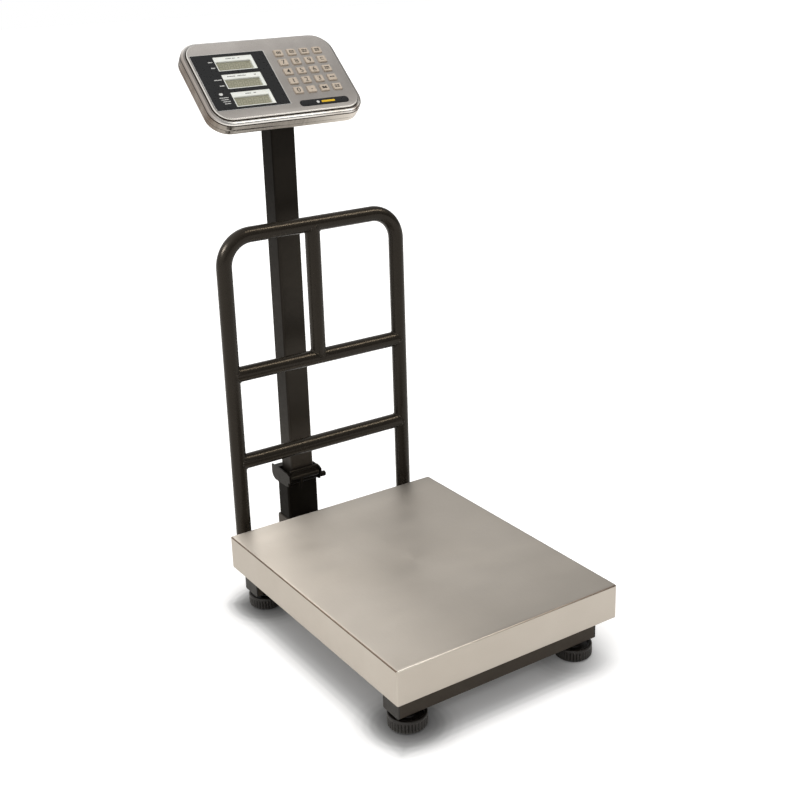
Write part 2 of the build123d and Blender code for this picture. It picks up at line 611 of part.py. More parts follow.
def rear_housing():
    shell = case_slab(0.5, REAR_W, SEAM_W - 0.4)
    shell = fillet(edges_at(shell, REAR_W), 4.0)
    shell += fillet(edges_at(bulge_slab(0, BULGE_W, REAR_W + 1), BULGE_W), 3.0)
    shell -= case_slab(2.5, REAR_INNER, SEAM_W + 1)
    shell -= bulge_slab(WALL, BULGE_W + WALL, REAR_INNER + 1)
    # lip that reaches into the front housing
    shell += case_slab(1.9, SEAM_W - 3, SEAM_W + 3) - case_slab(3.9, SEAM_W - 4, SEAM_W + 4)
    for x0 in (-EAR_X1, EAR_X0):
        x1 = x0 + EAR_T
        ear = box(x0, x1, TILT_V - TILT_BOSS, TILT_V + TILT_BOSS, TILT_W, REAR_W + 1)
        ear += rod_x(TILT_BOSS, x0, x1, TILT_V, TILT_W)
        shell += ear
    shell -= rod_x(PIN_R, -20, 20, TILT_V, TILT_W)
    w0, w1 = REAR_W - 1, REAR_INNER + 0.1
    for u, v in SCREWS:
        shell -= rod_z(1.7, w0, w1, u, v)
    shell -= rod_z(3.4, w0, w1, JACK_U, JACK_V)
    shell -= box(SWITCH_U - 6.1, SWITCH_U + 6.1, SWITCH_V - 10, SWITCH_V + 10, w0, w1)
    return shell


def power_switch():
    """Rocker: a cylinder segment with a shallow V face, resting in its off position."""
    rocker = rod_x(SWITCH_R, -5.9, 5.9, 0, 0)
    rocker -= Rot(8, 0, 0) * box(-8, 8, -14, 0, -14, -6.2)
    rocker -= Rot(-8, 0, 0) * box(-8, 8, 0, 14, -14, -6.2)
    rocker -= box(-8, 8, -12, 12, 3, 12)
    return Pos(SWITCH_U, SWITCH_V, SWITCH_W) * Rot(-9, 0, 0) * rocker


def housing_screws():
    return group(*[
        rod_z(1.4, REAR_W, -13, u, v) + rod_z(2.9, REAR_W - 1.8, REAR_W, u, v)
        - Pos(u, v, REAR_W - 2) * hexagon(2.2, 1.4)
        for u, v in SCREWS])


def tilt_bolt():
    """Bolt through the ears with its head on the right, and the nut on the left."""
    across, head_h, nut_h = 13.0, 5.3, 6.5
    bolt = rod_x(PIN_R, -21.0, 18.0, TILT_V, TILT_W)
    bolt += Pos(EAR_X1, TILT_V, TILT_W) * Rot(0, 90, 0) * hexagon(across, head_h)
    nut = Pos(-EAR_X1 - nut_h, TILT_V, TILT_W) * Rot(0, 90, 0) * hexagon(across, nut_h)
    nut -= rod_x(PIN_R, -25.0, -17.0, TILT_V, TILT_W)
    return group(bolt, nut)


def key(u, v):
    """Tapered cap, straight stem and retaining flange."""
    cap = extrude(RectangleRounded(KEY_W, KEY_H, KEY_R), KEY_TOP, taper=14)
    cap = fillet(edges_at(cap, KEY_TOP), 0.5)
    cap += Pos(0, 0, -2.4) * extrude(RectangleRounded(KEY_W, KEY_H, KEY_R), 2.4)
    cap += Pos(0, 0, -3.3) * extrude(RectangleRounded(KEY_W + 3, KEY_H + 3, KEY_R), 1.1)
    return Pos(u, v, 0) * cap


# ----------------------------------------------------------- build and export
parts = {"front_cross_beam": cross_beam(FRONT_Y)}
for build in (rear_cross_beam, base_spine, rear_outrigger, beam_end_caps, load_cell,
              load_cell_bolts, signal_cable, platform_frame, platform_pads, platter_cover,
              guard_rail, rail_bolts, lower_post, hinge_bracket, hinge_pins, clamp_bolt,
              latch_lever, column_tube, column_knuckle, head_bracket):
    parts[build.__name__] = build()
for y, end in ((FRONT_Y, "front"), (REAR_Y, "rear")):
    for x, side in ((-FOOT_X, "left"), (FOOT_X, "right")):
        parts[f"foot_pad_{end}_{side}"] = foot_pad(x, y)
        parts[f"foot_wheel_{end}_{side}"] = foot_wheel(x, y)
for build in (front_housing, front_overlays, lcd_bezels, lcd_modules, keypad_board,
              main_board, battery, rear_housing, power_switch, housing_screws, tilt_bolt):
    parts[build.__name__] = HEAD * build()
for label, (u, v) in KEY_PLACES.items():
    parts[f"key_{label}"] = HEAD * key(u, v)

bounds = [shape.bounding_box() for shape in parts.values()]
middle_y = (min(b.min.Y for b in bounds) + max(b.max.Y for b in bounds)) / 2
os.makedirs("parts", exist_ok=True)
for name, shape in parts.items():
    export_step(Pos(0, -middle_y, -FLOOR) * shape, f"parts/{name}.step")
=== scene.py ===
"""Platform scale: a stainless platter on a beam frame with four feet, a tubular guard
rail at the back, and a column that carries a tilted head with three displays and twenty keys.

+X is right, +Y is back and +Z is up. Sizes are in millimetres: from the platter's middle for
the base, and in the head's own axes (u right, v up the face, w out of it) for the head.
"""
import bpy
import bmesh
import json
from math import sin, cos, pi, radians, sqrt, floor
from mathutils import Vector, Matrix
from mathutils.geometry import tessellate_polygon

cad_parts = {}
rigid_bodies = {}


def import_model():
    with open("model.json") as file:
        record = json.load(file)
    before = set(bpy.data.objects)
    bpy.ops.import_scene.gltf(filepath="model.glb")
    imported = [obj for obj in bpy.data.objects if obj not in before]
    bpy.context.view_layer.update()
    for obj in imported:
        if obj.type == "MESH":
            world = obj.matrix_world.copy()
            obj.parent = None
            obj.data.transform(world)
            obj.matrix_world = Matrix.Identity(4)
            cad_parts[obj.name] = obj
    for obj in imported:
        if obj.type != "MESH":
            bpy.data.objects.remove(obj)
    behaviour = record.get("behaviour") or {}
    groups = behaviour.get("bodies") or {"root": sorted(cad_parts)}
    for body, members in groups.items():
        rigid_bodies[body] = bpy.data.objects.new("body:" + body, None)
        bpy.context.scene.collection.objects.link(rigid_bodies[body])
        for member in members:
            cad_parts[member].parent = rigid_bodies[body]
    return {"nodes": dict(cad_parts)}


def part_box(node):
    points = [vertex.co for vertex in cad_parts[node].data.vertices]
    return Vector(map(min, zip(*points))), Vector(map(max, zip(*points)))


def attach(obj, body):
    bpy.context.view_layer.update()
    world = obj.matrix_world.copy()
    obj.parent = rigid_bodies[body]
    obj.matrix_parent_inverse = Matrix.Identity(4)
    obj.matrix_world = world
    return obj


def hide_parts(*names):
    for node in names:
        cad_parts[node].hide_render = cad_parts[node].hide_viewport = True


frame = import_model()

bpy.context.view_layer.update()
NODES = frame["nodes"]
scene = bpy.context.scene

# ------------------------------------------------------------------ sizes
MM = 0.001

# Platter: half sizes, heights of its top and lower edge, sheet thickness
PLATTER_X, PLATTER_Y = 200.0, 250.0
PLATTER_TOP, PLATTER_EDGE = 121.6, 66.2
SHEET = 1.5

# Guard rail
RAIL_R = 12.7                # tube radius
RAIL_X, RAIL_Y = 162.4, 277.0
RAIL_TOP = 617.0             # centreline of the top run
RAIL_BEND = 48.6             # centreline radius of the upper corners
LEG_END = 45.0               # height of the legs' open ends
BAR_HEIGHTS = (388.5, 235.0)
MOUNT_Y = 242.0              # front of the two mounting plates
RAIL_SEGMENTS = 56

# Feet: middle of each, and the knob's largest radius
FEET = {"front_left": (-155.0, -204.0), "front_right": (155.0, -204.0),
        "rear_left": (-155.0, 222.0), "rear_right": (155.0, 222.0)}
FOOT_R = 29.4
PAD_TOP = -1.55              # top of the pad's disc
FLUTES = 36

# Head: half width, half height and corner radius of the face, and of the case behind it
HEAD_TILT = radians(48.7)
FACE_U, FACE_V, FACE_R = 132.5, 81.5, 29.0
CASE_U, CASE_V, CASE_R = 140.5, 89.0, 36.0

# Display windows: sides, height and the top of each; the glass lies lower in each window
WINDOW_LEFT, WINDOW_RIGHT, WINDOW_HEIGHT = -90.5, -19.5, 31.5
WINDOW_TOPS = (51.0, 12.7, -25.6)
GLASS_LEFT, GLASS_RIGHT, GLASS_DROP, GLASS_HEIGHT = -88.0, -25.5, 10.5, 18.5

# Keys: half sizes at the face, middle of the top left key, and pitches
KEY_U, KEY_V = 8.0, 7.0
KEY_FIRST_U, KEY_FIRST_V = 29.0, 46.3
KEY_PITCH_U, KEY_PITCH_V = 24.5, 20.9
KEY_ROWS = (("fn1", "fn2", "fn3", "fn4"), ("7", "8", "9", "fn5"), ("4", "5", "6", "fn6"),
            ("1", "2", "3", "fn7"), ("0", "point", "fn8", "fn9"))
KEYS = [(name, KEY_FIRST_U + column * KEY_PITCH_U, KEY_FIRST_V - row * KEY_PITCH_V)
        for row, names in enumerate(KEY_ROWS) for column, name in enumerate(names)]

# Badge strip: middle and height of its level in the face
BADGE_U, BADGE_V = 65.5, -65.0

# ------------------------------------------------------------------ places
_box_a, _box_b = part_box("platter_cover")
MID_Y = (_box_a.y + _box_b.y) / 2
LIFT = max(_box_a.z, _box_b.z) - PLATTER_TOP * MM


def base_point(x, y, z):
    """Millimetres from the platter's middle to the row frame."""
    return Vector((x * MM, y * MM + MID_Y, z * MM + LIFT))


HEAD = Matrix(((1, 0, 0, 0),
               (0, sin(HEAD_TILT), -cos(HEAD_TILT), 0),
               (0, cos(HEAD_TILT), sin(HEAD_TILT), 0),
               (0, 0, 0, 1)))
HEAD.translation = base_point(0, 378.5, 847.0)


def head_point(u, v, w):
    """Millimetres in the head's axes to the row frame."""
    return HEAD @ Vector((u * MM, v * MM, w * MM))


def scatter(*keys):
    """A repeatable number from 0 to 1."""
    x = sin(sum((i + 1) * 12.9898 * (q + 1.7) for i, q in enumerate(keys))) * 43758.5453
    return x - floor(x)


# -------------------------------------------------------------- mesh building
class Piece:
    """Gathers one piece's points and faces; place turns local points into the row frame."""

    def __init__(self, place=base_point):
        self.vertices = []
        self.faces = []
        self.slots = []
        self.place = place

    def add(self, points):
        """Adds points of the row frame and returns their numbers."""
        first = len(self.vertices)
        self.vertices += points
        return list(range(first, len(self.vertices)))

    def points(self, points):
        return self.add([self.place(*p) for p in points])

    def face(self, ids, slot=0):
        self.faces.append(tuple(ids))
        self.slots.append(slot)

    def bridge(self, a, b, slot=0):
        """Joins two closed rings of the same count."""
        for i in range(len(a)):
            j = (i + 1) % len(a)
            self.face((a[i], a[j], b[j], b[i]), slot)

    def loft(self, rings, slot=0, slots=None, caps=True):
        """Skins a row of rings; slots gives one material slot for each band."""
        slots = slots or [slot] * (len(rings) - 1)
        ids = [self.points(ring) for ring in rings]
        for a, b, band in zip(ids, ids[1:], slots):
            self.bridge(a, b, band)
        if caps:
            self.face(reversed(ids[0]), slots[0])
            self.face(ids[-1], slots[-1])

    def prism(self, loop, w0, w1, slot=0):
        """A flat outline made solid from w0 to w1."""
        self.loft([[(x, y, w) for x, y in loop] for w in (w0, w1)], slot)

    def sheet(self, loops, w, slot=0):
        """Flat face at w inside loops[0] with holes loops[1:]; returns ids by loop."""
        triangles = tessellate_polygon([[Vector((p[0], p[1], 0)) for p in loop]
                                        for loop in loops])
        ids = [self.points([(p[0], p[1], w) for p in loop]) for loop in loops]
        flat = sum(ids, [])
        for triangle in triangles:
            self.face([flat[i] for i in triangle], slot)
        return ids

    def walls(self, ids, *steps):
        """Carries a ring of ids through (outline, w) steps and returns the last ring."""
        for loop, w in steps:
            ring = self.points([(p[0], p[1], w) for p in loop])
            self.bridge(ids, ring)
            ids = ring
        return ids


def finish_mesh(name, mesh, finishes, body, slot, replaces=None, sharp=32.0, weld=2e-6):
    """Cleans a mesh, marks its edges sharp from an angle in degrees, links it to the scene on its
    body and hides the node it replaces.
    """
    for finish in finishes:
        mesh.materials.append(FINISH[finish])
    bm = bmesh.new()
    bm.from_mesh(mesh)
    bmesh.ops.remove_doubles(bm, verts=bm.verts, dist=weld)
    bmesh.ops.dissolve_degenerate(bm, dist=1e-7, edges=bm.edges)
    loose = [v for v in bm.verts if not v.link_faces]
    if loose:
        bmesh.ops.delete(bm, geom=loose, context="VERTS")
    bmesh.ops.recalc_face_normals(bm, faces=bm.faces)
    limit = radians(sharp)
    for face in bm.faces:
        face.smooth = True
    for edge in bm.edges:
        edge.smooth = len(edge.link_faces) == 2 and edge.calc_face_angle(0.0) < limit
    bm.to_mesh(mesh)
    bm.free()
    mesh.update()
    ob = bpy.data.objects.new(name, mesh)
    scene.collection.objects.link(ob)
    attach(ob, body)
    if replaces:
        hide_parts(replaces)


def build(name, piece, finishes, body, slot, **options):
    mesh = bpy.data.meshes.new(name)
    mesh.from_pydata(piece.vertices, [], piece.faces)
    mesh.polygons.foreach_set("material_index", piece.slots)
    finish_mesh(name, mesh, finishes, body, slot, **options)


def rounded(half_u, half_v, radius, steps, mid_u=0.0, mid_v=0.0, w=None):
    """Rounded rectangle, anticlockwise, with so many steps a corner; w makes it a ring."""
    radius = max(radius, 0.02)
    out = []
    for side_u, side_v, start in ((1, 1, 0), (-1, 1, 90), (-1, -1, 180), (1, -1, 270)):
        for k in range(steps + 1):
            a = radians(start + 90.0 * k / steps)
            point = (mid_u + side_u * (half_u - radius) + radius * cos(a),
                     mid_v + side_v * (half_v - radius) + radius * sin(a))
            out.append(point if w is None else (*point, w))
    return out


def quarter(radius, steps):
    """Offsets (inwards, down) of a rounded edge, from the flat to the side."""
    angles = [pi / 2 * k / steps for k in range(steps + 1)]
    return [(radius * (1 - sin(a)), radius * (1 - cos(a))) for a in angles]


def grow(loop, distance):
    """Offsets a closed anticlockwise outline outwards."""
    out = []
    for i in range(len(loop)):
        a, b, c = Vector(loop[i - 1]), Vector(loop[i]), Vector(loop[(i + 1) % len(loop)])
        before, after = b - a, c - b
        if before.length < 1e-9:
            before = after
        if after.length < 1e-9:
            after = before
        n1 = Vector((before.y, -before.x)).normalized()
        n2 = Vector((after.y, -after.x)).normalized()
        mitre = n1 + n2
        mitre = mitre.normalized() if mitre.length > 1e-6 else n1
        reach = distance / max(0.35, mitre.dot(n1))
        out.append((b.x + mitre.x * reach, b.y + mitre.y * reach))
    return out


def block(piece, x0, x1, y0, y1, z0, z1, radius):
    """A block with rounded edges."""
    def ring(inset, z):
        return rounded((x1 - x0) / 2 - inset, (y1 - y0) / 2 - inset, max(radius - inset, 0.05),
                       4, (x0 + x1) / 2, (y0 + y1) / 2, z)
    edge = quarter(radius, 3)
    piece.loft([ring(i, z0 + d) for i, d in edge] + [ring(i, z1 - d) for i, d in edge[::-1]])


def cross_axes(path, closed):
    """Two axes across a path at each of its points, carried along without twist."""
    n = len(path)
    tangents = []
    for i in range(n):
        if closed:
            step = path[(i + 1) % n] - path[i - 1]
        else:
            step = path[min(i + 1, n - 1)] - path[max(i - 1, 0)]
        tangents.append(step.normalized())
    first = tangents[0]
    guide = Vector((0, 0, 1)) if abs(first.z) < 0.9 else Vector((0, 1, 0))
    normal = (guide - first * guide.dot(first)).normalized()
    out = []
    for tangent in tangents:
        normal = (normal - tangent * normal.dot(tangent)).normalized()
        out.append((normal, tangent.cross(normal)))
    return out


def tube(piece, path, radius, segments, closed=False, caps=True, swell=None):
    """Round tube along a path; swell(i) scales the radius at point i. Returns its rings."""
    path = [Vector(p) for p in path]
    ids = []
    for i, (p, (a, b)) in enumerate(zip(path, cross_axes(path, closed))):
        r = radius * (swell(i) if swell else 1.0)
        angles = [2 * pi * k / segments for k in range(segments)]
        ids.append(piece.points([p + a * (r * cos(t)) + b * (r * sin(t)) for t in angles]))
    for a, b in zip(ids, ids[1:]):
        piece.bridge(a, b)
    if closed:
        # the axes may not meet after a round, so start from the nearest point
        last, first = ids[-1], ids[0]
        seam = piece.vertices[last[0]]
        start = min(range(segments),
                    key=lambda k: (piece.vertices[first[k]] - seam).length_squared)
        piece.bridge(last, first[start:] + first[:start])
    elif caps:
        piece.face(reversed(ids[0]))
        piece.face(ids[-1])
    return ids


def lathe(piece, profile, mid_x, mid_y, segments, relief=None, slot=0):
    """Turns (radius, z) points about a vertical line; a last radius of 0 closes it.

    relief(angle, k, z) adds to the radius of profile point k."""
    previous = None
    for k, (radius, z) in enumerate(profile):
        if radius == 0:
            tip = piece.points([(mid_x, mid_y, z)])[0]
            for i in range(segments):
                piece.face((previous[i], previous[(i + 1) % segments], tip), slot)
            continue
        ring = []
        for i in range(segments):
            a = 2 * pi * i / segments
            r = radius + (relief(a, k, z) if relief else 0)
            ring.append((mid_x + r * cos(a), mid_y + r * sin(a), z))
        ids = piece.points(ring)
        if previous:
            piece.bridge(previous, ids, slot)
        previous = ids


def bead(piece, points, seed, radius=1.5, closed=True):
    """A rippled weld bead along points."""
    spacing, ripple = 0.55, 2.2
    corners = [Vector(p) for p in points]
    if closed:
        corners.append(corners[0])
    path = []
    for a, b in zip(corners[:-1], corners[1:]):
        n = max(1, int((b - a).length / spacing))
        path += [a.lerp(b, k / n) for k in range(n)]
    if not closed:
        path.append(corners[-1])

    def swell(i):
        phase = i * spacing / ripple
        return 1.0 + 0.13 * abs(sin(pi * phase)) + 0.10 * (scatter(int(phase), seed) - 0.5)
    tube(piece, path, radius, 10, closed=closed, swell=swell)


def mark(piece, u0, u1, v0, v1, w0, w1, radius, slot=1):
    """A thin printed mark."""
    half_u, half_v = (u1 - u0) / 2, (v1 - v0) / 2
    radius = min(radius, half_u * .95, half_v * .95)
    piece.prism(rounded(half_u, half_v, radius, 2, (u0 + u1) / 2, (v0 + v1) / 2), w0, w1, slot)


def dashes(piece, u0, u1, v, height, gap, seed, w0, w1):
    """A row of short printed bars standing for a label."""
    u = u0
    k = 0
    while u < u1 - 0.5:
        end = min(u1, u + 1.0 + 1.3 * scatter(k, seed))
        tall = height * (0.72 + 0.28 * scatter(k + 9, seed))
        mark(piece, u, end, v - height / 2, v - height / 2 + tall, w0, w1, 0.2)
        u = end + gap
        k += 1


def figure(piece, text, size, mid_u, mid_v, w, depth):
    """A figure as a thin solid in material slot 1."""
    curve = bpy.data.curves.new("figure", "FONT")
    curve.body = text
    curve.size = size
    curve.extrude = depth / 2
    curve.resolution_u = 4
    curve.offset = 0.007 * size
    ob = bpy.data.objects.new("figure", curve)
    scene.collection.objects.link(ob)
    depsgraph = bpy.context.evaluated_depsgraph_get()
    mesh = bpy.data.meshes.new_from_object(ob.evaluated_get(depsgraph))
    xs = [v.co.x for v in mesh.vertices]
    ys = [v.co.y for v in mesh.vertices]
    mid_x, mid_y = (min(xs) + max(xs)) / 2, (min(ys) + max(ys)) / 2
    ids = piece.points([(mid_u + v.co.x - mid_x, mid_v + v.co.y - mid_y, w + v.co.z)
                        for v in mesh.vertices])
    for polygon in mesh.polygons:
        piece.face([ids[i] for i in polygon.vertices], 1)
    bpy.data.objects.remove(ob)
    bpy.data.curves.remove(curve)
    bpy.data.meshes.remove(mesh)


# ------------------------------------------------------------------ node trees
class Nodes:
    """Short calls for a node tree; all but new, link, feed and split return an output."""

    def __init__(self, tree):
        self.tree = tree
        tree.nodes.clear()

    def new(self, kind, **settings):
        node = self.tree.nodes.new(kind)
        for key, value in settings.items():
            setattr(node, key, value)
        return node

    def link(self, source, target):
        self.tree.links.new(source, target)

    def feed(self, target, value):
        """Sets an input to a number or colour, or links it to an output."""
        if isinstance(value, (int, float)):
            target.default_value = value
        elif isinstance(value, tuple):
            target.default_value = (*value, 1)
        else:
            self.link(value, target)

    def noise(self, scale, detail=3.0, rough=0.5, stretch=None):
        node = self.new("ShaderNodeTexNoise")
        node.inputs["Scale"].default_value = scale
        node.inputs["Detail"].default_value = detail
        node.inputs["Roughness"].default_value = rough
        vector = self.place
        if stretch:
            mapping = self.new("ShaderNodeMapping")
            mapping.inputs["Scale"].default_value = stretch
            self.link(vector, mapping.inputs["Vector"])
            vector = mapping.outputs[0]
        self.link(vector, node.inputs["Vector"])
        return node.outputs["Fac"]

    def ramp(self, value, stops):
        """Colour ramp through (position, colour) stops."""
        node = self.new("ShaderNodeValToRGB")
        elements = node.color_ramp.elements
        while len(elements) < len(stops):
            elements.new(0.5)
        for element, (position, colour) in zip(elements, stops):
            element.position = position
            element.color = (*colour, 1)
        self.link(value, node.inputs[0])
        return node.outputs[0]

    def grey_ramp(self, value, stops):
        """Ramp through (position, grey) stops."""
        return self.ramp(value, [(position, (grey,) * 3) for position, grey in stops])

    def remap(self, value, of, to=(0, 1)):
        """Maps the range of onto the range to, clamped."""
        node = self.new("ShaderNodeMapRange")
        for i, limit in enumerate((*of, *to)):
            node.inputs[i + 1].default_value = limit
        self.link(value, node.inputs[0])
        return node.outputs[0]

    def math(self, operation, a, b=None):
        node = self.new("ShaderNodeMath", operation=operation)
        self.feed(node.inputs[0], a)
        if b is not None:
            self.feed(node.inputs[1], b)
        return node.outputs[0]

    def mix(self, amount, a, b, mode="MIX"):
        node = self.new("ShaderNodeMix", data_type="RGBA", blend_type=mode)
        for i, value in ((0, amount), (6, a), (7, b)):
            self.feed(node.inputs[i], value)
        return node.outputs[2]

    def tint(self, a, b):
        return self.mix(1.0, a, b, "MULTIPLY")

    def gain(self, colour, factor):
        return self.tint(colour, (factor,) * 3)

    def split(self, vector):
        return self.new("ShaderNodeSeparateXYZ", ).outputs if vector is None else self._xyz(vector)

    def _xyz(self, vector):
        node = self.new("ShaderNodeSeparateXYZ")
        self.link(vector, node.inputs[0])
        return node.outputs

    def coordinates(self, kind):
        return self.new("ShaderNodeTexCoord").outputs[kind]

    def geometry(self, kind):
        return self.new("ShaderNodeNewGeometry").outputs[kind]


class Finish(Nodes):
    """A material with one Principled shader and object coordinates."""
    SOCKETS = {"base": "Base Color", "rough": "Roughness", "metal": "Metallic",
               "coat": "Coat Weight", "coat_rough": "Coat Roughness",
               "spec": "Specular IOR Level", "aniso": "Anisotropic", "sss": "Subsurface Weight"}

    def __init__(self, name):
        self.material = bpy.data.materials.new(name)
        self.material.use_nodes = True
        super().__init__(self.material.node_tree)
        output = self.new("ShaderNodeOutputMaterial")
        self.shader = self.new("ShaderNodeBsdfPrincipled")
        self.link(self.shader.outputs[0], output.inputs[0])
        self.place = self.coordinates("Object")

    def set(self, **values):
        for key, value in values.items():
            self.feed(self.shader.inputs[self.SOCKETS[key]], value)

    def bump(self, height, distance, strength=1.0):
        node = self.new("ShaderNodeBump")
        node.inputs["Distance"].default_value = distance
        node.inputs["Strength"].default_value = strength
        self.link(height, node.inputs["Height"])
        self.link(node.outputs[0], self.shader.inputs["Normal"])


def brighter(colour, factor, lift=0.0):
    return tuple(min(1, c * factor + lift) for c in colour)


def worn_edges(n, colour, of, amount, rubbed):
    """Blends towards a rubbed colour along convex edges."""
    edge = n.math("MULTIPLY", n.remap(n.geometry("Pointiness"), of=of), amount)
    return n.mix(edge, colour, rubbed)


# ------------------------------------------------------------------ materials
def powder(name, dark, light, rough, peel, spec, peel_scale=820.0, side=None, painted_shade_heights=None):
    """Powder coat: orange peel, faint mottling and a lighter rub along edges.

    painted_shade_heights lists (z in metres, gain) of painted light and shade by height and comes
    with side, the lower specular level that paints shade on the faces turned to the left."""
    n = Finish(name)
    mottle = n.noise(scale=16, detail=4, rough=0.6)
    fine = n.noise(scale=620, detail=2, rough=0.5)
    colour = n.mix(n.remap(mottle, of=(0.30, 0.70)), dark, light)
    colour = n.mix(n.remap(fine, of=(0.64, 0.74), to=(0, 0.14)), colour, brighter(light, 2.0))
    colour = worn_edges(n, colour, of=(0.53, 0.62), amount=0.25, rubbed=brighter(light, 3.5))
    headroom = 4.0               # keeps the gains inside the ramp's 0 to 1
    if painted_shade_heights:
        # painted light and shade: the colour is scaled by a gain that changes with height
        lift = n.grey_ramp(n.split(n.place)["Z"], [(z, g / headroom) for z, g in painted_shade_heights])
        colour = n.gain(n.tint(colour, lift), headroom)
    n.set(base=colour, spec=spec, coat_rough=0.2)
    n.shader.inputs["Specular Tint"].default_value = (1.0, 0.90, 0.78, 1)
    if painted_shade_heights:
        # painted shade: a lower specular level on faces turned to the left, scaled by the same
        # height gain
        facing = n.split(n.geometry("True Normal"))["X"]
        level = n.remap(facing, of=(-0.95, -0.35), to=(side, spec))
        n.set(spec=n.math("MULTIPLY", n.math("MULTIPLY", level, lift), headroom))
    broad = n.noise(scale=95, detail=3, rough=0.55)
    n.set(rough=n.math("ADD", n.remap(broad, of=(0.3, 0.7), to=(rough - 0.05, rough + 0.06)),
                       n.remap(fine, of=(0.3, 0.7), to=(-0.02, 0.03))))
    n.bump(n.noise(scale=peel_scale, detail=1.6, rough=0.45), distance=peel)
    return n.material


def steel_sheet():
    """Satin stainless: fine grain along the sheet, cloudy finish, faint handling marks, and painted
    light and shade on the top.
    """
    n = Finish("satin_stainless")
    cloud = n.noise(scale=5.5, detail=3, rough=0.55)
    grain = n.noise(scale=60, detail=5, rough=0.7, stretch=(34, 1.1, 34))
    micro = n.noise(scale=1500, detail=2, rough=0.6)
    smear = n.noise(scale=9, detail=4, rough=0.65, stretch=(1, 2.4, 1))
    colour = n.mix(n.remap(cloud, of=(0.35, 0.65)), (0.640, 0.592, 0.530), (0.675, 0.628, 0.567))
    colour = n.mix(n.remap(grain, of=(0.35, 0.65), to=(0, 0.10)), colour, (0.50, 0.455, 0.40))
    colour = n.mix(n.remap(micro, of=(0.6, 0.75), to=(0, 0.18)), colour, (0.52, 0.47, 0.42))
    # painted light and shade on the top: lighter at the left, darker towards the right and at its
    # front and back ends
    facing = n.split(n.geometry("True Normal"))
    place = n.split(n.place)
    half_x, half_y = PLATTER_X * MM, PLATTER_Y * MM
    across = n.grey_ramp(n.remap(place["X"], of=(-half_x, half_x)), [
        (0.0, 0.56), (0.125, 0.54), (0.25, 0.485), (0.375, 0.42),
        (0.5, 0.393), (0.625, 0.402), (0.75, 0.41), (1.0, 0.397)])
    along = n.grey_ramp(n.remap(place["Y"], of=(MID_Y - half_y, MID_Y + half_y)), [
        (0.0, 0.86), (0.10, 0.93), (0.26, 0.99), (0.40, 1.06),
        (0.70, 1.07), (0.82, 1.07), (0.92, 1.04), (1.0, 0.88)])
    on_top = n.math("GREATER_THAN", facing["Z"], 0.5)
    shaded = n.gain(n.tint(colour, n.tint(across, along)), 2.0)
    n.set(base=n.mix(on_top, colour, shaded), metal=1.0, aniso=0.25,
          rough=n.math("ADD", n.remap(smear, of=(0.3, 0.7), to=(0.42, 0.50)),
                       n.remap(grain, of=(0.3, 0.7), to=(-0.02, 0.03))))
    height = n.math("ADD", n.math("MULTIPLY", grain, 0.35), n.math("MULTIPLY", micro, 0.5))
    n.bump(height, distance=0.00002, strength=0.7)
    return n.material


def steel_bend():
    """The sheet's folded edge: a painted dark reflection, with a painted highlight over the left of
    the front.
    """
    n = Finish("folded_edge_steel")
    place = n.split(n.place)
    x = n.remap(place["X"], of=(-PLATTER_X * MM, PLATTER_X * MM))
    front = n.math("LESS_THAN", place["Y"], MID_Y - 0.2483)
    # painted reflection: dark brown along the fold, and a painted highlight fading from the left of
    # the front fold
    dark = n.mix(n.noise(scale=60, detail=3, rough=0.6), (0.16, 0.115, 0.085), (0.26, 0.20, 0.155))
    bright = n.ramp(x, [(0.0, (0.95, 0.90, 0.82)), (0.20, (0.80, 0.74, 0.66)),
                        (0.55, (0.42, 0.36, 0.30)), (1.0, (0.20, 0.155, 0.125))])
    n.set(base=n.mix(front, dark, bright), metal=1.0, rough=0.30)
    n.bump(n.noise(scale=900, detail=2, rough=0.5), distance=0.00002, strength=0.5)
    return n.material


def steel_face():
    """Satin face of the head, with the fine speckle of its finish and painted light and shade."""
    n = Finish("satin_face_steel")
    speck = n.noise(scale=1250, detail=3, rough=0.65)
    cloud = n.noise(scale=14, detail=3, rough=0.5)
    colour = n.mix(n.remap(cloud, of=(0.35, 0.65)), (0.66, 0.625, 0.595), (0.72, 0.685, 0.655))
    colour = n.mix(n.remap(speck, of=(0.52, 0.68), to=(0, 0.50)), colour, (0.42, 0.385, 0.355))
    colour = n.mix(n.remap(speck, of=(0.48, 0.32), to=(0, 0.30)), colour, (0.86, 0.84, 0.82))
    place = n.split(n.place)
    # painted light and shade: darker in the lower middle of the face, lighter towards its top, and
    # darker towards the right
    painted_shade_by_height = n.grey_ramp(n.remap(place["Z"], of=(0.78, 0.92)), [
        (0.0, 0.56), (0.08, 0.47), (0.25, 0.430), (0.50, 0.455),
        (0.70, 0.54), (0.85, 0.66), (1.0, 0.69)])
    across = n.grey_ramp(n.remap(place["X"], of=(-0.14, 0.14)), [
        (0.0, 1.0), (0.25, 1.0), (0.55, 0.96), (0.80, 0.90), (1.0, 0.86)])
    colour = n.gain(n.tint(n.tint(colour, painted_shade_by_height), across), 2.0)
    haze = n.noise(scale=45, detail=3, rough=0.6)
    n.set(base=colour, metal=1.0, rough=n.remap(haze, of=(0.3, 0.7), to=(0.36, 0.43)))
    n.bump(speck, distance=0.00004, strength=0.8)
    return n.material


def polished(name, dark, light, rough, bump=0.0):
    """Polished steel with haze and hairlines; rough is a range, bump a strength."""
    n = Finish(name)
    haze = n.noise(scale=28, detail=4, rough=0.6)
    hair = n.noise(scale=55, detail=5, rough=0.75, stretch=(1, 1, 1))
    n.set(base=n.mix(n.remap(haze, of=(0.35, 0.65)), dark, light), metal=1.0,
          rough=n.math("ADD", n.remap(haze, of=(0.3, 0.7), to=rough),
                       n.remap(hair, of=(0.4, 0.7), to=(0, 0.03))))
    if bump:
        n.bump(n.noise(scale=9, detail=1.5, rough=0.4), distance=0.00010, strength=bump)
    return n.material


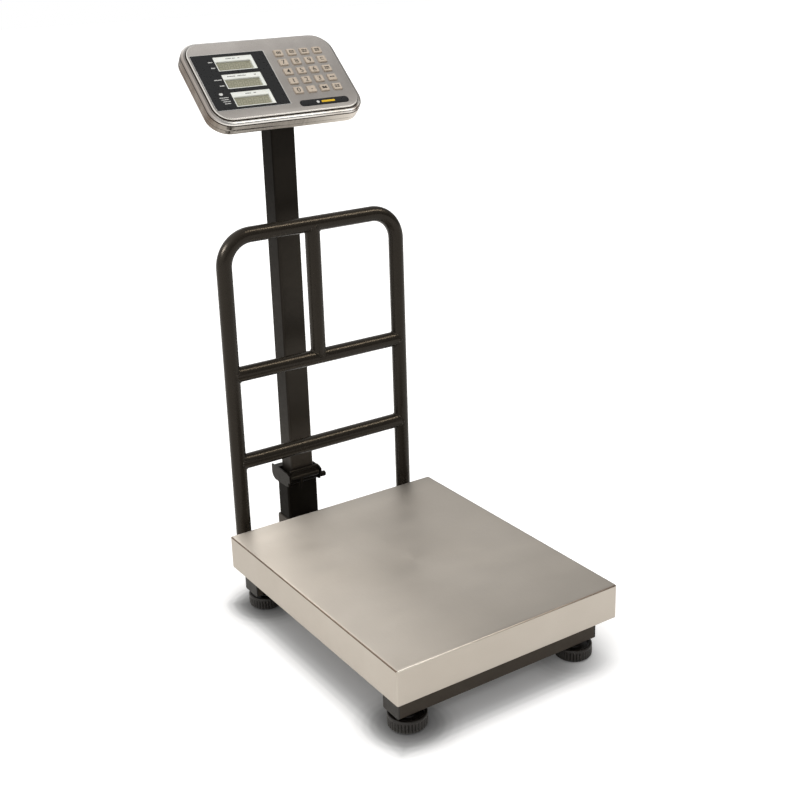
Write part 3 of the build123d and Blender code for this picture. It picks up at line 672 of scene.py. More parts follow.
def wall_painted_reflections():
    """The case wall: polished steel with painted reflections, dark and pale bands from left to
    right and pale streaking.
    """
    n = Finish("drawn_wall_steel")
    x = n.remap(n.split(n.place)["X"], of=(-0.142, 0.142))
    wobble = n.noise(scale=9, detail=3, rough=0.6)
    shift = n.math("MULTIPLY", n.math("SUBTRACT", wobble, 0.5), 0.10)
    # painted reflections: dark and pale bands from left to right, with wobbled edges
    band = n.ramp(n.math("ADD", x, shift), [
        (0.0, (0.15, 0.115, 0.090)), (0.035, (0.20, 0.165, 0.135)),
        (0.10, (0.50, 0.47, 0.43)), (0.36, (0.25, 0.225, 0.20)),
        (0.56, (0.27, 0.245, 0.215)), (0.74, (0.56, 0.52, 0.47)),
        (0.90, (0.80, 0.745, 0.68)), (0.97, (0.34, 0.30, 0.265))])
    streak = n.noise(scale=40, detail=3, rough=0.6, stretch=(6, 0.7, 0.7))
    # painted reflection: pale streaking over the bands
    painted_reflection_streaks = n.remap(streak, of=(0.35, 0.65), to=(0, 0.25))
    n.set(base=n.mix(painted_reflection_streaks, band, (0.62, 0.585, 0.54)), metal=1.0,
          rough=n.remap(wobble, of=(0.3, 0.7), to=(0.13, 0.20)))
    n.bump(n.noise(scale=9, detail=1.5, rough=0.4), distance=0.00008, strength=0.15)
    return n.material


def buffed_shoulder():
    """Buffed steel with painted reflections that turn it dark and pale from left to right."""
    n = Finish("buffed_shoulder")
    half = CASE_U * MM
    # painted reflections: dark and pale bands by position from left to right
    colour = n.ramp(n.remap(n.split(n.place)["X"], of=(-half, half)), [
        (0.0, (0.34, 0.30, 0.27)), (0.012, (0.46, 0.42, 0.39)),
        (0.040, (0.78, 0.75, 0.72)), (0.10, (0.92, 0.91, 0.89)),
        (0.62, (0.90, 0.885, 0.86)), (0.80, (0.66, 0.62, 0.58)),
        (0.885, (0.86, 0.84, 0.82)), (0.93, (0.22, 0.18, 0.15)),
        (0.962, (0.90, 0.87, 0.84)), (1.0, (0.26, 0.21, 0.175))])
    rough = n.noise(scale=120, detail=3, rough=0.6)
    # roughness stays close to 0.22
    n.set(base=colour, metal=1.0,
          rough=n.remap(rough, of=(0.3, 0.7), to=(0.22 - 0.02, 0.22 + 0.03)))
    return n.material


def bare_metal(name, dark, light, rough):
    """Plated or machined metal with a fine grain."""
    n = Finish(name)
    patches = n.noise(scale=160, detail=4, rough=0.6)
    n.set(base=n.mix(n.remap(patches, of=(0.35, 0.65)), dark, light), metal=1.0,
          rough=n.remap(n.noise(scale=260, detail=3, rough=0.6), of=(0.3, 0.7),
                        to=(rough - 0.06, rough + 0.1)))
    n.bump(n.noise(scale=1400, detail=2, rough=0.5), distance=0.00003, strength=0.7)
    return n.material


def plastic(name, dark, light, rough, grain=0.00008, grain_scale=700.0, spec=0.5,
            patch_scale=40.0, sss=0.0, worn=0.0):
    """Moulded plastic with a fine spark-eroded grain (grain is its bump distance)."""
    n = Finish(name)
    patches = n.noise(scale=patch_scale, detail=3, rough=0.6)
    colour = n.mix(n.remap(patches, of=(0.35, 0.65)), dark, light)
    if worn:
        colour = worn_edges(n, colour, of=(0.52, 0.60), amount=worn,
                            rubbed=brighter(light, 2.5, lift=0.01))
    broad = n.noise(scale=grain_scale * 0.15, detail=3, rough=0.55)
    n.set(base=colour, spec=spec, coat_rough=0.12,
          rough=n.remap(broad, of=(0.3, 0.7), to=(rough - 0.05, rough + 0.06)))
    if sss:
        n.set(sss=sss)
        n.shader.inputs["Subsurface Radius"].default_value = (0.001, 0.0008, 0.0006)
    n.bump(n.noise(scale=grain_scale, detail=2, rough=0.5), distance=grain, strength=0.8)
    return n.material


def lcd_glass():
    """Grey-green reflective display behind its polariser."""
    n = Finish("lcd_glass")
    cloud = n.noise(scale=70, detail=3, rough=0.55)
    streak = n.noise(scale=420, detail=2, rough=0.5, stretch=(5, 1, 1))
    haze = n.noise(scale=90, detail=2, rough=0.5)
    colour = n.mix(n.remap(cloud, of=(0.35, 0.65)), (0.318, 0.310, 0.225), (0.362, 0.352, 0.262))
    colour = n.mix(n.remap(streak, of=(0.55, 0.7), to=(0, 0.22)), colour, (0.25, 0.245, 0.18))
    n.set(base=colour, rough=n.remap(haze, of=(0.3, 0.7), to=(0.14, 0.22)),
          spec=0.5, coat=0.35, coat_rough=0.05)
    n.bump(n.noise(scale=1500, detail=2, rough=0.5), distance=0.00001, strength=0.5)
    return n.material


def circuit_board():
    """Green board with a net of raised tracks."""
    n = Finish("circuit_board")
    cells = n.new("ShaderNodeTexVoronoi", feature="DISTANCE_TO_EDGE")
    cells.inputs["Scale"].default_value = 260
    n.link(n.place, cells.inputs["Vector"])
    track = n.remap(cells.outputs["Distance"], of=(0.03, 0.06), to=(1, 0))
    n.set(base=n.mix(track, (0.010, 0.085, 0.030), (0.025, 0.16, 0.055)), rough=0.35, coat=0.3)
    n.bump(track, distance=0.00005, strength=0.5)
    return n.material


# Painted light and shade on the column: how much its colour is lightened or darkened at each height
# (z in metres, gain)
COLUMN_PAINTED_SHADE = ((0.0, 0.6), (0.14, 0.6), (0.165, 2.0), (0.19, 2.6), (0.25, 1.8),
                (0.33, 1.35), (0.47, 1.45), (0.56, 1.15), (0.68, 0.65), (0.85, 0.50))

FINISH = {
    "tube": powder("tube_powder_coat", (0.0078, 0.0064, 0.0048), (0.0100, 0.0083, 0.0064),
                   rough=0.25, peel=0.00004, spec=0.32),
    "column": powder("column_powder_coat", (0.0055, 0.0047, 0.0038), (0.0073, 0.0063, 0.0052),
                     rough=0.38, peel=0.00005, spec=0.25, side=0.05, painted_shade_heights=COLUMN_PAINTED_SHADE),
    "beam": powder("beam_powder_coat", (0.0175, 0.0138, 0.0100), (0.0240, 0.0192, 0.0145),
                   rough=0.46, peel=0.00008, spec=0.38, peel_scale=900),
    "hinge": powder("hinge_powder_coat", (0.0032, 0.0027, 0.0022), (0.0052, 0.0045, 0.0037),
                    rough=0.34, peel=0.00005, spec=0.18),
    "sheet": steel_sheet(),
    "bend": steel_bend(),
    "face": steel_face(),
    "polish": polished("polished_steel", (0.72, 0.69, 0.65), (0.80, 0.77, 0.73),
                       rough=(0.07, 0.13), bump=0.15),
    # painted highlight: a lighter copy of the polished steel for the rounded edge of the face
    "rim": polished("polished_rim", (0.86, 0.84, 0.80), (0.92, 0.90, 0.87), rough=(0.22, 0.27)),
    # painted shade: near-black steel for the side of the face's edge, the groove, the foot of the
    # shoulder and the seam
    "groove": polished("shaded_groove", (0.030, 0.023, 0.018), (0.052, 0.041, 0.033),
                       rough=(0.36, 0.46)),
    "wall": wall_painted_reflections(),
    "shoulder": buffed_shoulder(),
    "zinc": bare_metal("zinc_plate", (0.50, 0.50, 0.47), (0.62, 0.61, 0.56), rough=0.30),
    "alu": bare_metal("machined_aluminium", (0.70, 0.71, 0.72), (0.80, 0.81, 0.82), rough=0.32),
    "panel": plastic("printed_black_panel", (0.0150, 0.0155, 0.0165), (0.0175, 0.0180, 0.0190),
                     rough=0.30, grain=0.000006, grain_scale=1300, spec=0.36, patch_scale=14),
    "print": plastic("white_print", (0.66, 0.66, 0.64), (0.74, 0.74, 0.72),
                     rough=0.5, grain=0.00002, grain_scale=1500),
    "unit_print": plastic("dark_print", (0.055, 0.052, 0.050), (0.075, 0.070, 0.066),
                          rough=0.5, grain=0.00001, grain_scale=1500),
    "bezel": plastic("white_bezel", (0.70, 0.72, 0.68), (0.77, 0.785, 0.75),
                     rough=0.34, grain=0.00004, grain_scale=900, sss=0.05),
    "key": plastic("cream_key_plastic", (0.435, 0.368, 0.296), (0.485, 0.412, 0.334),
                   rough=0.36, grain=0.00005, grain_scale=1100, sss=0.06, patch_scale=90),
    "legend": plastic("key_legend", (0.014, 0.012, 0.010), (0.022, 0.018, 0.015),
                      rough=0.5, grain=0.00001, grain_scale=1500),
    "foot": plastic("foot_plastic", (0.0080, 0.0066, 0.0052), (0.0135, 0.0110, 0.0086),
                    rough=0.30, grain=0.00010, grain_scale=520, worn=0.5),
    "cap": plastic("end_cap_plastic", (0.019, 0.0170, 0.0145), (0.028, 0.0250, 0.0215),
                   rough=0.50, grain=0.00010, grain_scale=600),
    "black": plastic("black_moulding", (0.011, 0.011, 0.011), (0.018, 0.018, 0.0175),
                     rough=0.42, grain=0.00010, grain_scale=650),
    "rubber": plastic("rubber", (0.012, 0.012, 0.0118), (0.020, 0.0195, 0.019),
                      rough=0.68, grain=0.00014, grain_scale=380, spec=0.3),
    "cable": plastic("cable_jacket", (0.014, 0.014, 0.014), (0.022, 0.022, 0.021),
                     rough=0.5, grain=0.00006, grain_scale=500),
    "yellow": plastic("yellow_print", (0.78, 0.48, 0.01), (0.84, 0.54, 0.02),
                      rough=0.45, grain=0.00002, grain_scale=1500),
    "battery": plastic("battery_case", (0.030, 0.031, 0.036), (0.045, 0.046, 0.052), rough=0.45),
    "lcd": lcd_glass(),
    "ghost": plastic("idle_segments", (0.205, 0.200, 0.145), (0.235, 0.228, 0.168),
                     rough=0.2, grain=0.00001, grain_scale=1500),
    "pcb": circuit_board(),
}

# Finish of each CAD node; the feet and keys go by the start of their names
CAD_FINISHES = {
    "beam": ("front_cross_beam", "rear_cross_beam", "base_spine", "rear_outrigger",
             "platform_frame"),
    "column": ("lower_post", "column_tube", "head_bracket"),
    "hinge": ("hinge_bracket", "hinge_pins", "latch_lever", "clamp_bolt", "column_knuckle"),
    "zinc": ("load_cell_bolts", "rail_bolts", "housing_screws", "tilt_bolt"),
    "pcb": ("keypad_board", "main_board"),
    "cap": ("beam_end_caps",), "alu": ("load_cell",), "cable": ("signal_cable",),
    "rubber": ("platform_pads",), "wall": ("rear_housing",), "lcd": ("lcd_modules",),
    "battery": ("battery",), "black": ("power_switch",), "tube": ("guard_rail",),
    "sheet": ("platter_cover",), "polish": ("front_housing",), "panel": ("front_overlays",),
    "bezel": ("lcd_bezels",),
}


def finish_cad_nodes():
    finish_of = {name: finish for finish, names in CAD_FINISHES.items() for name in names}
    by_start = {"foot_pad": "rubber", "foot_wheel": "foot", "key_": "key"}
    for name, ob in NODES.items():
        finish = next((f for start, f in by_start.items() if name.startswith(start)), None)
        ob.data.materials.clear()
        ob.data.materials.append(FINISH[finish or finish_of[name]])


# --------------------------------------------------------------- platter
def corner_dip(ring, depth):
    """Pulls the middle of each rounded corner in a little, as on folded sheet."""
    out = []
    for x, y, z in ring:
        side_x, side_y = (1 if x > 0 else -1), (1 if y > 0 else -1)
        dx, dy = abs(x) - (PLATTER_X - 2.2), abs(y) - (PLATTER_Y - 2.2)
        near = max(0.0, 1 - abs(dx - dy) / 1.1) if dx > -0.4 and dy > -0.4 else 0.0
        out.append((x - side_x * depth * near, y - side_y * depth * near, z - 0.5 * depth * near))
    return out


def platter():
    corner = 2.4
    skirt_top = PLATTER_TOP - 5.5

    def ring(inset, radius, z):
        return rounded(PLATTER_X - inset, PLATTER_Y - inset, radius, 10, w=z)
    bend = quarter(1.7, 7)
    rings = [ring(6, 1.2, PLATTER_TOP)]
    rings += [corner_dip(ring(i, corner - i, PLATTER_TOP - d), 0.75 if d > 0 else 0.0)
              for i, d in bend]
    rings.append(corner_dip(ring(0, corner, PLATTER_TOP - 3.2), 0.35))
    rings.append(ring(0, corner, skirt_top))
    rings += [ring(0, corner, skirt_top - (skirt_top - PLATTER_EDGE - 0.8) * k / 5)
              for k in range(1, 6)]
    # rounded lower edge, half a sheet in radius
    half = SHEET / 2
    for k in range(1, 7):
        a = pi * k / 6
        inset = half * (1 - cos(a))
        rings.append(ring(inset, corner - inset * .9, PLATTER_EDGE + half - half * sin(a)))
    # inside of the sheet
    rings.append(ring(SHEET, 1.0, PLATTER_TOP - SHEET - 1.0))
    rings.append(ring(SHEET + 1, 0.4, PLATTER_TOP - SHEET))
    slots = [0] + [1] * (len(bend) - 1) + [0] * (len(rings) - 1 - len(bend))
    piece = Piece()
    piece.loft(rings, slots=slots)
    build("platter_sheet", piece, ("sheet", "bend"), "platter", "stainless",
          replaces="platter_cover", sharp=40)


# --------------------------------------------------------------- guard rail
def solid(piece, name="part"):
    """A temporary object from one closed piece."""
    mesh = bpy.data.meshes.new(name)
    mesh.from_pydata(piece.vertices, [], piece.faces)
    bm = bmesh.new()
    bm.from_mesh(mesh)
    bmesh.ops.remove_doubles(bm, verts=bm.verts, dist=1e-6)
    bmesh.ops.recalc_face_normals(bm, faces=bm.faces)
    bm.to_mesh(mesh)
    bm.free()
    ob = bpy.data.objects.new(name, mesh)
    scene.collection.objects.link(ob)
    return ob


def union(solids):
    """One mesh from overlapping closed solids, which are removed."""
    base = solids[0]
    for other in solids[1:]:
        modifier = base.modifiers.new("union", "BOOLEAN")
        modifier.operation = "UNION"
        modifier.solver = "EXACT"
        modifier.object = other
    depsgraph = bpy.context.evaluated_depsgraph_get()
    mesh = bpy.data.meshes.new_from_object(base.evaluated_get(depsgraph))
    for ob in solids:
        data = ob.data
        bpy.data.objects.remove(ob)
        bpy.data.meshes.remove(data)
    mesh.materials.clear()
    mesh.polygons.foreach_set("material_index", [0] * len(mesh.polygons))
    return mesh


def close_leg(piece, rim, x):
    """The wall thickness at a leg's open end, and a plug up inside it."""
    centre = base_point(x, RAIL_Y, LEG_END)
    directions = []
    for i in rim:
        direction = piece.vertices[i] - centre
        direction.z = 0
        directions.append(direction.normalized())
    for inset, rise in ((0.5, 0.0), (1.1, 0.3), (1.5, 1.0), (1.5, 9.0)):
        points = [centre + direction * ((RAIL_R - inset) * MM) for direction in directions]
        for point in points:
            point.z = (LEG_END + rise) * MM + LIFT
        ring = piece.add(points)
        piece.bridge(rim, ring)
        rim = ring
    piece.face(rim)


def rail_hoop():
    """The two legs and the top run, bent from one tube."""
    bend_z = RAIL_TOP - RAIL_BEND
    turn = [pi / 2 * k / 22 for k in range(1, 23)]
    path = [(-RAIL_X, RAIL_Y, LEG_END + (bend_z - LEG_END) * k / 14) for k in range(15)]
    path += [(-RAIL_X + RAIL_BEND - RAIL_BEND * cos(a), RAIL_Y, bend_z + RAIL_BEND * sin(a))
             for a in turn]
    path += [(-RAIL_X + RAIL_BEND + (2 * RAIL_X - 2 * RAIL_BEND) * k / 10, RAIL_Y, RAIL_TOP)
             for k in range(1, 11)]
    path += [(RAIL_X - RAIL_BEND + RAIL_BEND * sin(a), RAIL_Y, bend_z + RAIL_BEND * cos(a))
             for a in turn]
    path += [(RAIL_X, RAIL_Y, bend_z - (bend_z - LEG_END) * k / 14) for k in range(1, 15)]
    piece = Piece()
    rings = tube(piece, path, RAIL_R, RAIL_SEGMENTS, caps=False)
    close_leg(piece, rings[0], -RAIL_X)
    close_leg(piece, rings[-1], RAIL_X)
    return solid(piece, "hoop")


def rail_tubework():
    # inner tubes are a hair thinner than the hoop, so no two surfaces coincide
    parts = [rail_hoop()]
    for z in BAR_HEIGHTS:
        piece = Piece()
        path = [(-RAIL_X + 3 + (2 * RAIL_X - 6) * k / 8, RAIL_Y, z) for k in range(9)]
        tube(piece, path, RAIL_R * 0.999, RAIL_SEGMENTS)
        parts.append(solid(piece))
    piece = Piece()
    low = BAR_HEIGHTS[0]
    path = [(0, RAIL_Y, low + 3 + (RAIL_TOP - low - 6) * k / 6) for k in range(7)]
    tube(piece, path, RAIL_R * 0.998, RAIL_SEGMENTS)
    parts.append(solid(piece))
    for s in (-1, 1):
        # mounting plate, then the web from it to the leg
        piece = Piece()
        mid = s * (RAIL_X - 14)
        block(piece, mid - 26, mid + 26, MOUNT_Y, MOUNT_Y + 5, 24.5, 60.5, radius=0.9)
        parts.append(solid(piece))
        piece = Piece()
        leg = s * RAIL_X
        block(piece, leg - 9, leg + 9, MOUNT_Y + 4, RAIL_Y - 3, 47.3, 57.3, radius=0.8)
        parts.append(solid(piece))
    finish_mesh("rail_tubework", union(parts), ("tube",), "base", "black_paint",
                replaces="guard_rail", sharp=33, weld=1e-6)


def rail_welds():
    piece = Piece()
    # where two tubes meet: (across, back, reach along the joining tube)
    saddle = []
    for k in range(96):
        a = 2 * pi * k / 96
        saddle.append(((RAIL_R - 0.2) * cos(a), (RAIL_R - 0.2) * sin(a),
                       (RAIL_R - 0.15) * sqrt(cos(a) ** 2 + 0.035)))
    for z in BAR_HEIGHTS:
        for s in (-1, 1):
            points = [(s * (RAIL_X - reach), RAIL_Y + y, z + across) for across, y, reach in saddle]
            bead(piece, points, seed=z + s)
    for z, s in ((RAIL_TOP, -1), (BAR_HEIGHTS[0], 1)):
        points = [(across, RAIL_Y + y, z + s * reach) for across, y, reach in saddle]
        bead(piece, points, seed=z)
    for s in (-1, 1):
        # web to plate, then leg to web
        leg = s * RAIL_X
        corners = ((-9.2, 47.4), (-9.2, 57.4), (9.2, 57.4), (9.2, 47.4))
        bead(piece, [(leg + x, MOUNT_Y + 5.4, z) for x, z in corners],
             radius=1.3, closed=False, seed=3 + s)
        angles = [radians(q) for q in range(205, 336, 6)]
        bead(piece, [(leg + (RAIL_R + 0.1) * cos(a), RAIL_Y + (RAIL_R + 0.1) * sin(a), 57.7)
                     for a in angles], radius=1.3, closed=False, seed=8 + s)
    build("rail_welds", piece, ("tube",), "base", "black_paint", sharp=60)


# (x, z) of the arch-shaped beads on the base, and (arch, y, seed) of each bead
WIDE_ARCH = ((-29.7, 24.5), (-30.0, 58.5), (-27.5, 61.4), (27.5, 61.4), (30.0, 58.5), (29.7, 24.5))
REAR_ARCH = ((-30.4, 23.6), (-30.4, 53.2), (-27.6, 56.1), (27.6, 56.1), (30.4, 53.2), (30.4, 23.6))
ARCH_BEADS = ((WIDE_ARCH, -184.0 + 0.3, -184.0), (WIDE_ARCH, 202.0 - 0.3, 202.0),
              (REAR_ARCH, MOUNT_Y + 0.3, 21))


def base_welds():
    piece = Piece()
    for arch, y, seed in ARCH_BEADS:
        bead(piece, [(x, y, z) for x, z in arch], closed=False, seed=seed)
    # around the foot of the post, then along both sides higher up
    bead(piece, rounded(30.3, 19.1, 3.6, 5, 0, 380, w=56.3), radius=1.6, seed=33)
    for s in (-1, 1):
        x = s * 30.35
        bead(piece, [(x, 365, 124.7), (x, 382.5, 124.7)], radius=1.2, closed=False, seed=50 + s)
    build("base_welds", piece, ("beam",), "base", "black_paint", sharp=60)


# --------------------------------------------------------------- feet
# Knob profile, from the bore's rim up: (radius, z, depth of flutes from 0 to 1)
KNOB = (
    (4.1, PAD_TOP, 0), (22.0, PAD_TOP, 0), (27.0, PAD_TOP, 0), (28.2, -1.25, .2),
    (29.0, -0.5, .8), (29.35, 0.6, 1), (FOOT_R, 3.0, 1), (FOOT_R, 7.0, 1), (FOOT_R, 11.0, 1),
    (FOOT_R, 12.8, 1), (FOOT_R, 13.5, .55), (FOOT_R, 14.1, 0), (FOOT_R, 15.8, 0),
    (29.15, 16.8, 0), (28.5, 17.6, 0), (27.6, 17.95, 0), (26.9, 18.0, 0), (25.4, 18.0, 0),
    (24.6, 17.75, 0), (24.15, 17.1, 0), (24.0, 16.0, 0), (23.9, 14.2, 0), (23.3, 13.3, 0),
    (22.2, 13.0, 0), (13.0, 13.0, 0), (11.2, 13.2, 0), (10.4, 14.0, 0), (10.05, 15.2, 0),
    (10.0, 17.0, 0), (9.6, 17.7, 0), (8.6, 18.0, 0), (8.45, 18.9, 0), (8.1, 19.4, 0),
    (7.5, 19.6, 0), (5.2, 19.6, 0))
THREAD_LOW, THREAD_HIGH, THREAD_PITCH, THREAD_STEPS = 19.6, 24.4, 1.5, 26


def flute(angle, k, z):
    """Narrow grooves around the knob."""
    crest = 0.5 - 0.5 * cos(FLUTES * angle)
    return -1.5 * (1 - crest) ** 3.0 * KNOB[k][2]


def thread(angle, k, z):
    """Triangular thread over the stud's profile points 1 to THREAD_STEPS + 1."""
    if k < 1 or k > THREAD_STEPS + 1:
        return 0.0
    turn = (z / THREAD_PITCH - angle / (2 * pi)) % 1.0
    return -0.42 + 0.56 * (1 - abs(2 * turn - 1))


def foot(name, x, y):
    around = FLUTES * 8
    piece = Piece()
    lathe(piece, [(r, z) for r, z, _ in KNOB], x, y, around, relief=flute)
    # the stud: threaded in the gap below the beam, plain above it
    stud = [(5.2, THREAD_LOW)]
    stud += [(4.82, THREAD_LOW + (THREAD_HIGH - THREAD_LOW) * k / THREAD_STEPS)
             for k in range(THREAD_STEPS + 1)]
    stud += [(4.9, 25.2), (4.9, 49.6), (4.5, 50.0), (0, 50.0)]
    lathe(piece, stud, x, y, 48, relief=thread, slot=1)
    # bore in the underside, closed at its upper end
    lathe(piece, [(4.1, PAD_TOP), (4.1, 6.1), (0, 6.4)], x, y, around)
    wheel = f"foot_wheel_{name}"
    build(f"foot_knob_{name}", piece, ("foot", "zinc"), wheel, "black_plastic",
          replaces=wheel, sharp=38)


# --------------------------------------------------------------- head
def head_outline(blend, inset, w):
    """Outline between the face (blend 0) and the case (blend 1), drawn in by inset."""
    half_u = FACE_U + (CASE_U - FACE_U) * blend
    half_v = FACE_V + (CASE_V - FACE_V) * blend
    radius = FACE_R + (CASE_R - FACE_R) * blend
    return rounded(half_u - inset, half_v - inset, radius - inset, 16, w=w)


def panel_outline(inset=0.0):
    """The black panel: its left side follows the face's rounded outline."""
    half_u, half_v, radius = (size - 3.5 - inset for size in (FACE_U, FACE_V, FACE_R))
    top, bottom, right = 57.0 - inset, -62.9 + inset, 4.6 - inset
    corner = 1.6

    def left(v):
        straight = half_v - radius
        if abs(v) <= straight:
            return -half_u
        return -(half_u - radius) - sqrt(max(0, radius * radius - (abs(v) - straight) ** 2))

    def right_corner(start, mid_v):
        angles = [radians(start + 90 * k / 4) for k in range(5)]
        return [(right - corner + corner * cos(a), mid_v + corner * sin(a)) for a in angles]
    points = right_corner(0, top - corner)
    points += [(left(top) + 1.4, top), (left(top) + 0.4, top - 0.4)]
    for k in range(13):
        v = (top - 1.4) + (bottom + 1.4 - (top - 1.4)) * k / 12
        points.append((left(v), v))
    points += [(left(bottom) + 0.4, bottom + 0.4), (left(bottom) + 1.4, bottom)]
    return points + right_corner(270, bottom + corner)


WINDOWS = [rounded((WINDOW_RIGHT - WINDOW_LEFT) / 2, WINDOW_HEIGHT / 2, 0.8, 3,
                   (WINDOW_LEFT + WINDOW_RIGHT) / 2, top - WINDOW_HEIGHT / 2)
           for top in WINDOW_TOPS]

# Material slots of the shell
# GROOVE_SHADE bands carry painted shade in near-black steel, RIM_HIGHLIGHT bands a painted
# highlight
FACE, RIM_HIGHLIGHT, WALL, GROOVE_SHADE, SHOULDER = range(5)

# Outside of the shell from the face's edge over the ledge and shoulder to the seam, then
# back up inside: (blend of face and case, inset, w, slot of the band that ends here)
SHELL_PROFILE = (
    [(0, i, -d, RIM_HIGHLIGHT) for i, d in quarter(1.5, 6)]
    + [(0, 0, -1.9, RIM_HIGHLIGHT), (0, 0, -2.9, GROOVE_SHADE), (0, -0.25, -3.55, GROOVE_SHADE),
       (0, -0.75, -3.9, GROOVE_SHADE), (0, -1.4, -4.0, GROOVE_SHADE), (1, 5.4, -4.0, SHOULDER)]
    + [(1, i, -4.0 - d, SHOULDER if d < 3.9 else GROOVE_SHADE) for i, d in quarter(5.0, 12)]
    + [(1, 0, -9.9, GROOVE_SHADE), (1, 0, -12.0, WALL), (1, 0, -16.0, WALL), (1, 0, -19.2, WALL),
       (1, 0.25, -19.75, GROOVE_SHADE), (1, 0.6, -20.0, GROOVE_SHADE), (1, 1.6, -20.0, WALL),
       (1, 1.6, -9.0, WALL), (1, 3.0, -6.6, WALL), (0, 2.0, -6.0, WALL), (0, 2.0, -2.0, WALL)])

# Posts on the back of the face: (u, v, radius, w of the end)
BOARD_POSTS = ((-97.0, 54.0, 2.6, -8.5), (-97.0, -61.0, 2.6, -8.5),
               (-11.0, 54.0, 2.6, -8.5), (-11.0, -61.0, 2.6, -8.5),
               (16.6, 57.0, 2.4, -6.0), (115.0, 57.0, 2.4, -6.0),
               (16.6, -49.5, 2.4, -6.0), (115.0, -49.5, 2.4, -6.0))


def head_shell():
    piece = Piece(head_point)
    plate_back = -2.0
    lip = 0.35                   # soft edge at each opening
    key_holes = [rounded(KEY_U + 0.3, KEY_V + 0.3, 2.0, 4, u, v) for _, u, v in KEYS]
    panel = panel_outline()
    badge = rounded(46.0, 6.5, 6.3, 8, BADGE_U, BADGE_V)
    openings = [grow(loop, lip) for loop in [panel, badge] + key_holes]
    rims = piece.sheet([head_outline(0, 1.5, 0.0)] + openings, 0.0)
    # recesses for the panel and the badge
    piece.walls(rims[1], (panel, -0.3), (panel, -1.0))
    recess = piece.sheet([panel] + WINDOWS, -1.0)
    piece.walls(rims[2], (badge, -0.3), (badge, -0.6))
    piece.sheet([badge], -0.6)
    # windows and key openings down to the back of the plate
    for rim, loop in zip(recess[1:], WINDOWS):
        piece.walls(rim, (loop, plate_back))
    for rim, loop in zip(rims[3:], key_holes):
        piece.walls(rim, (loop, -0.35), (loop, plate_back))
    piece.sheet([head_outline(0, 2.0, plate_back)] + WINDOWS + key_holes, plate_back, WALL)
    piece.loft([head_outline(blend, inset, w) for blend, inset, w, _ in SHELL_PROFILE],
               slots=[slot for *_, slot in SHELL_PROFILE[1:]], caps=False)
    # screw bosses and board posts inside
    for side_u in (-1, 1):
        for side_v in (-1, 1):
            boss = rounded(4.5, 4.5, 4.45, 5, side_u * 119.0, side_v * 70.0)
            piece.prism(boss, plate_back, -27.9, WALL)
    for u, v, r, end in BOARD_POSTS:
        piece.prism(rounded(r, r, r * .98, 4, u, v), plate_back, end, WALL)
    build("head_front_shell", piece, ("face", "rim", "wall", "groove", "shoulder"), "head",
          "polished_steel", replaces="front_housing", sharp=30, weld=4e-6)


def display_panel():
    """Black panel with its printed border and labels."""
    piece = Piece(head_point)
    top, back = -0.12, -1.0
    ink_low, ink_high = -0.115, -0.055
    edge = panel_outline(0.15)
    rims = piece.sheet([edge] + WINDOWS, top)
    for rim, loop in zip(rims, [edge] + WINDOWS):
        piece.walls(rim, (loop, back))
    piece.sheet([edge] + WINDOWS, back)
    # thin border: a closed band between two outlines
    inner = panel_outline(0.75)
    corners = [piece.points([(u, v, w) for u, v in loop]) for loop, w in (
        (edge, -0.06), (inner, -0.06), (inner, ink_low), (edge, ink_low))]
    for k in range(4):
        piece.bridge(corners[k], corners[(k + 1) % 4], 1)
    for u0, u1, v in ((-102, -94, 40.0), (-101, -94.5, 27.3), (-107, -94, 1.5), (-102, -94, -11.2)):
        dashes(piece, u0, u1, v, height=2.4, gap=0.5, seed=v, w0=ink_low, w1=ink_high)
    piece.prism(rounded(3.3, 2.6, 2.5, 6, -107.5, -28.5), ink_low, ink_high, 1)
    for k, v in enumerate((-36.0, -40.2, -44.4, -48.6)):
        dashes(piece, -113.0 + 1.5 * k, -97.5, v, height=1.7, gap=0.6, seed=70 + k,
               w0=ink_low, w1=ink_high)
    build("display_panel", piece, ("panel", "print"), "head", "black_plastic",
          replaces="front_overlays", sharp=30)


def badge_strip():
    """Plain strip with one coloured bar and a dot."""
    piece = Piece(head_point)

    def ring(inset, w):
        return rounded(45.9 - inset, 6.4 - inset, 6.3 - inset, 10, BADGE_U, BADGE_V, w)
    rings = [ring(0, -0.6), ring(0, 0.05)]
    rings += [ring(i, 0.3 - d) for i, d in quarter(0.35, 3)[::-1]]
    piece.loft(rings)
    mark(piece, 59.5, 85.0, -66.9, -63.0, 0.29, 0.36, 1.6)
    piece.prism(rounded(2.6, 2.6, 2.55, 6, 53.0, BADGE_V), 0.29, 0.36, 2)
    build("badge_strip", piece, ("panel", "yellow", "print"), "head", "black_plastic", sharp=30)


# Labels above the glass of each display: (left, right)
FRAME_LABELS = (((-68, -58), (-56, -51), (-46, -43)),
                ((-81, -67), (-63, -48), (-33, -29)),
                ((-65, -55), (-50, -46)))


def glass_middle(top):
    return (GLASS_LEFT + GLASS_RIGHT) / 2, top - GLASS_DROP - GLASS_HEIGHT / 2


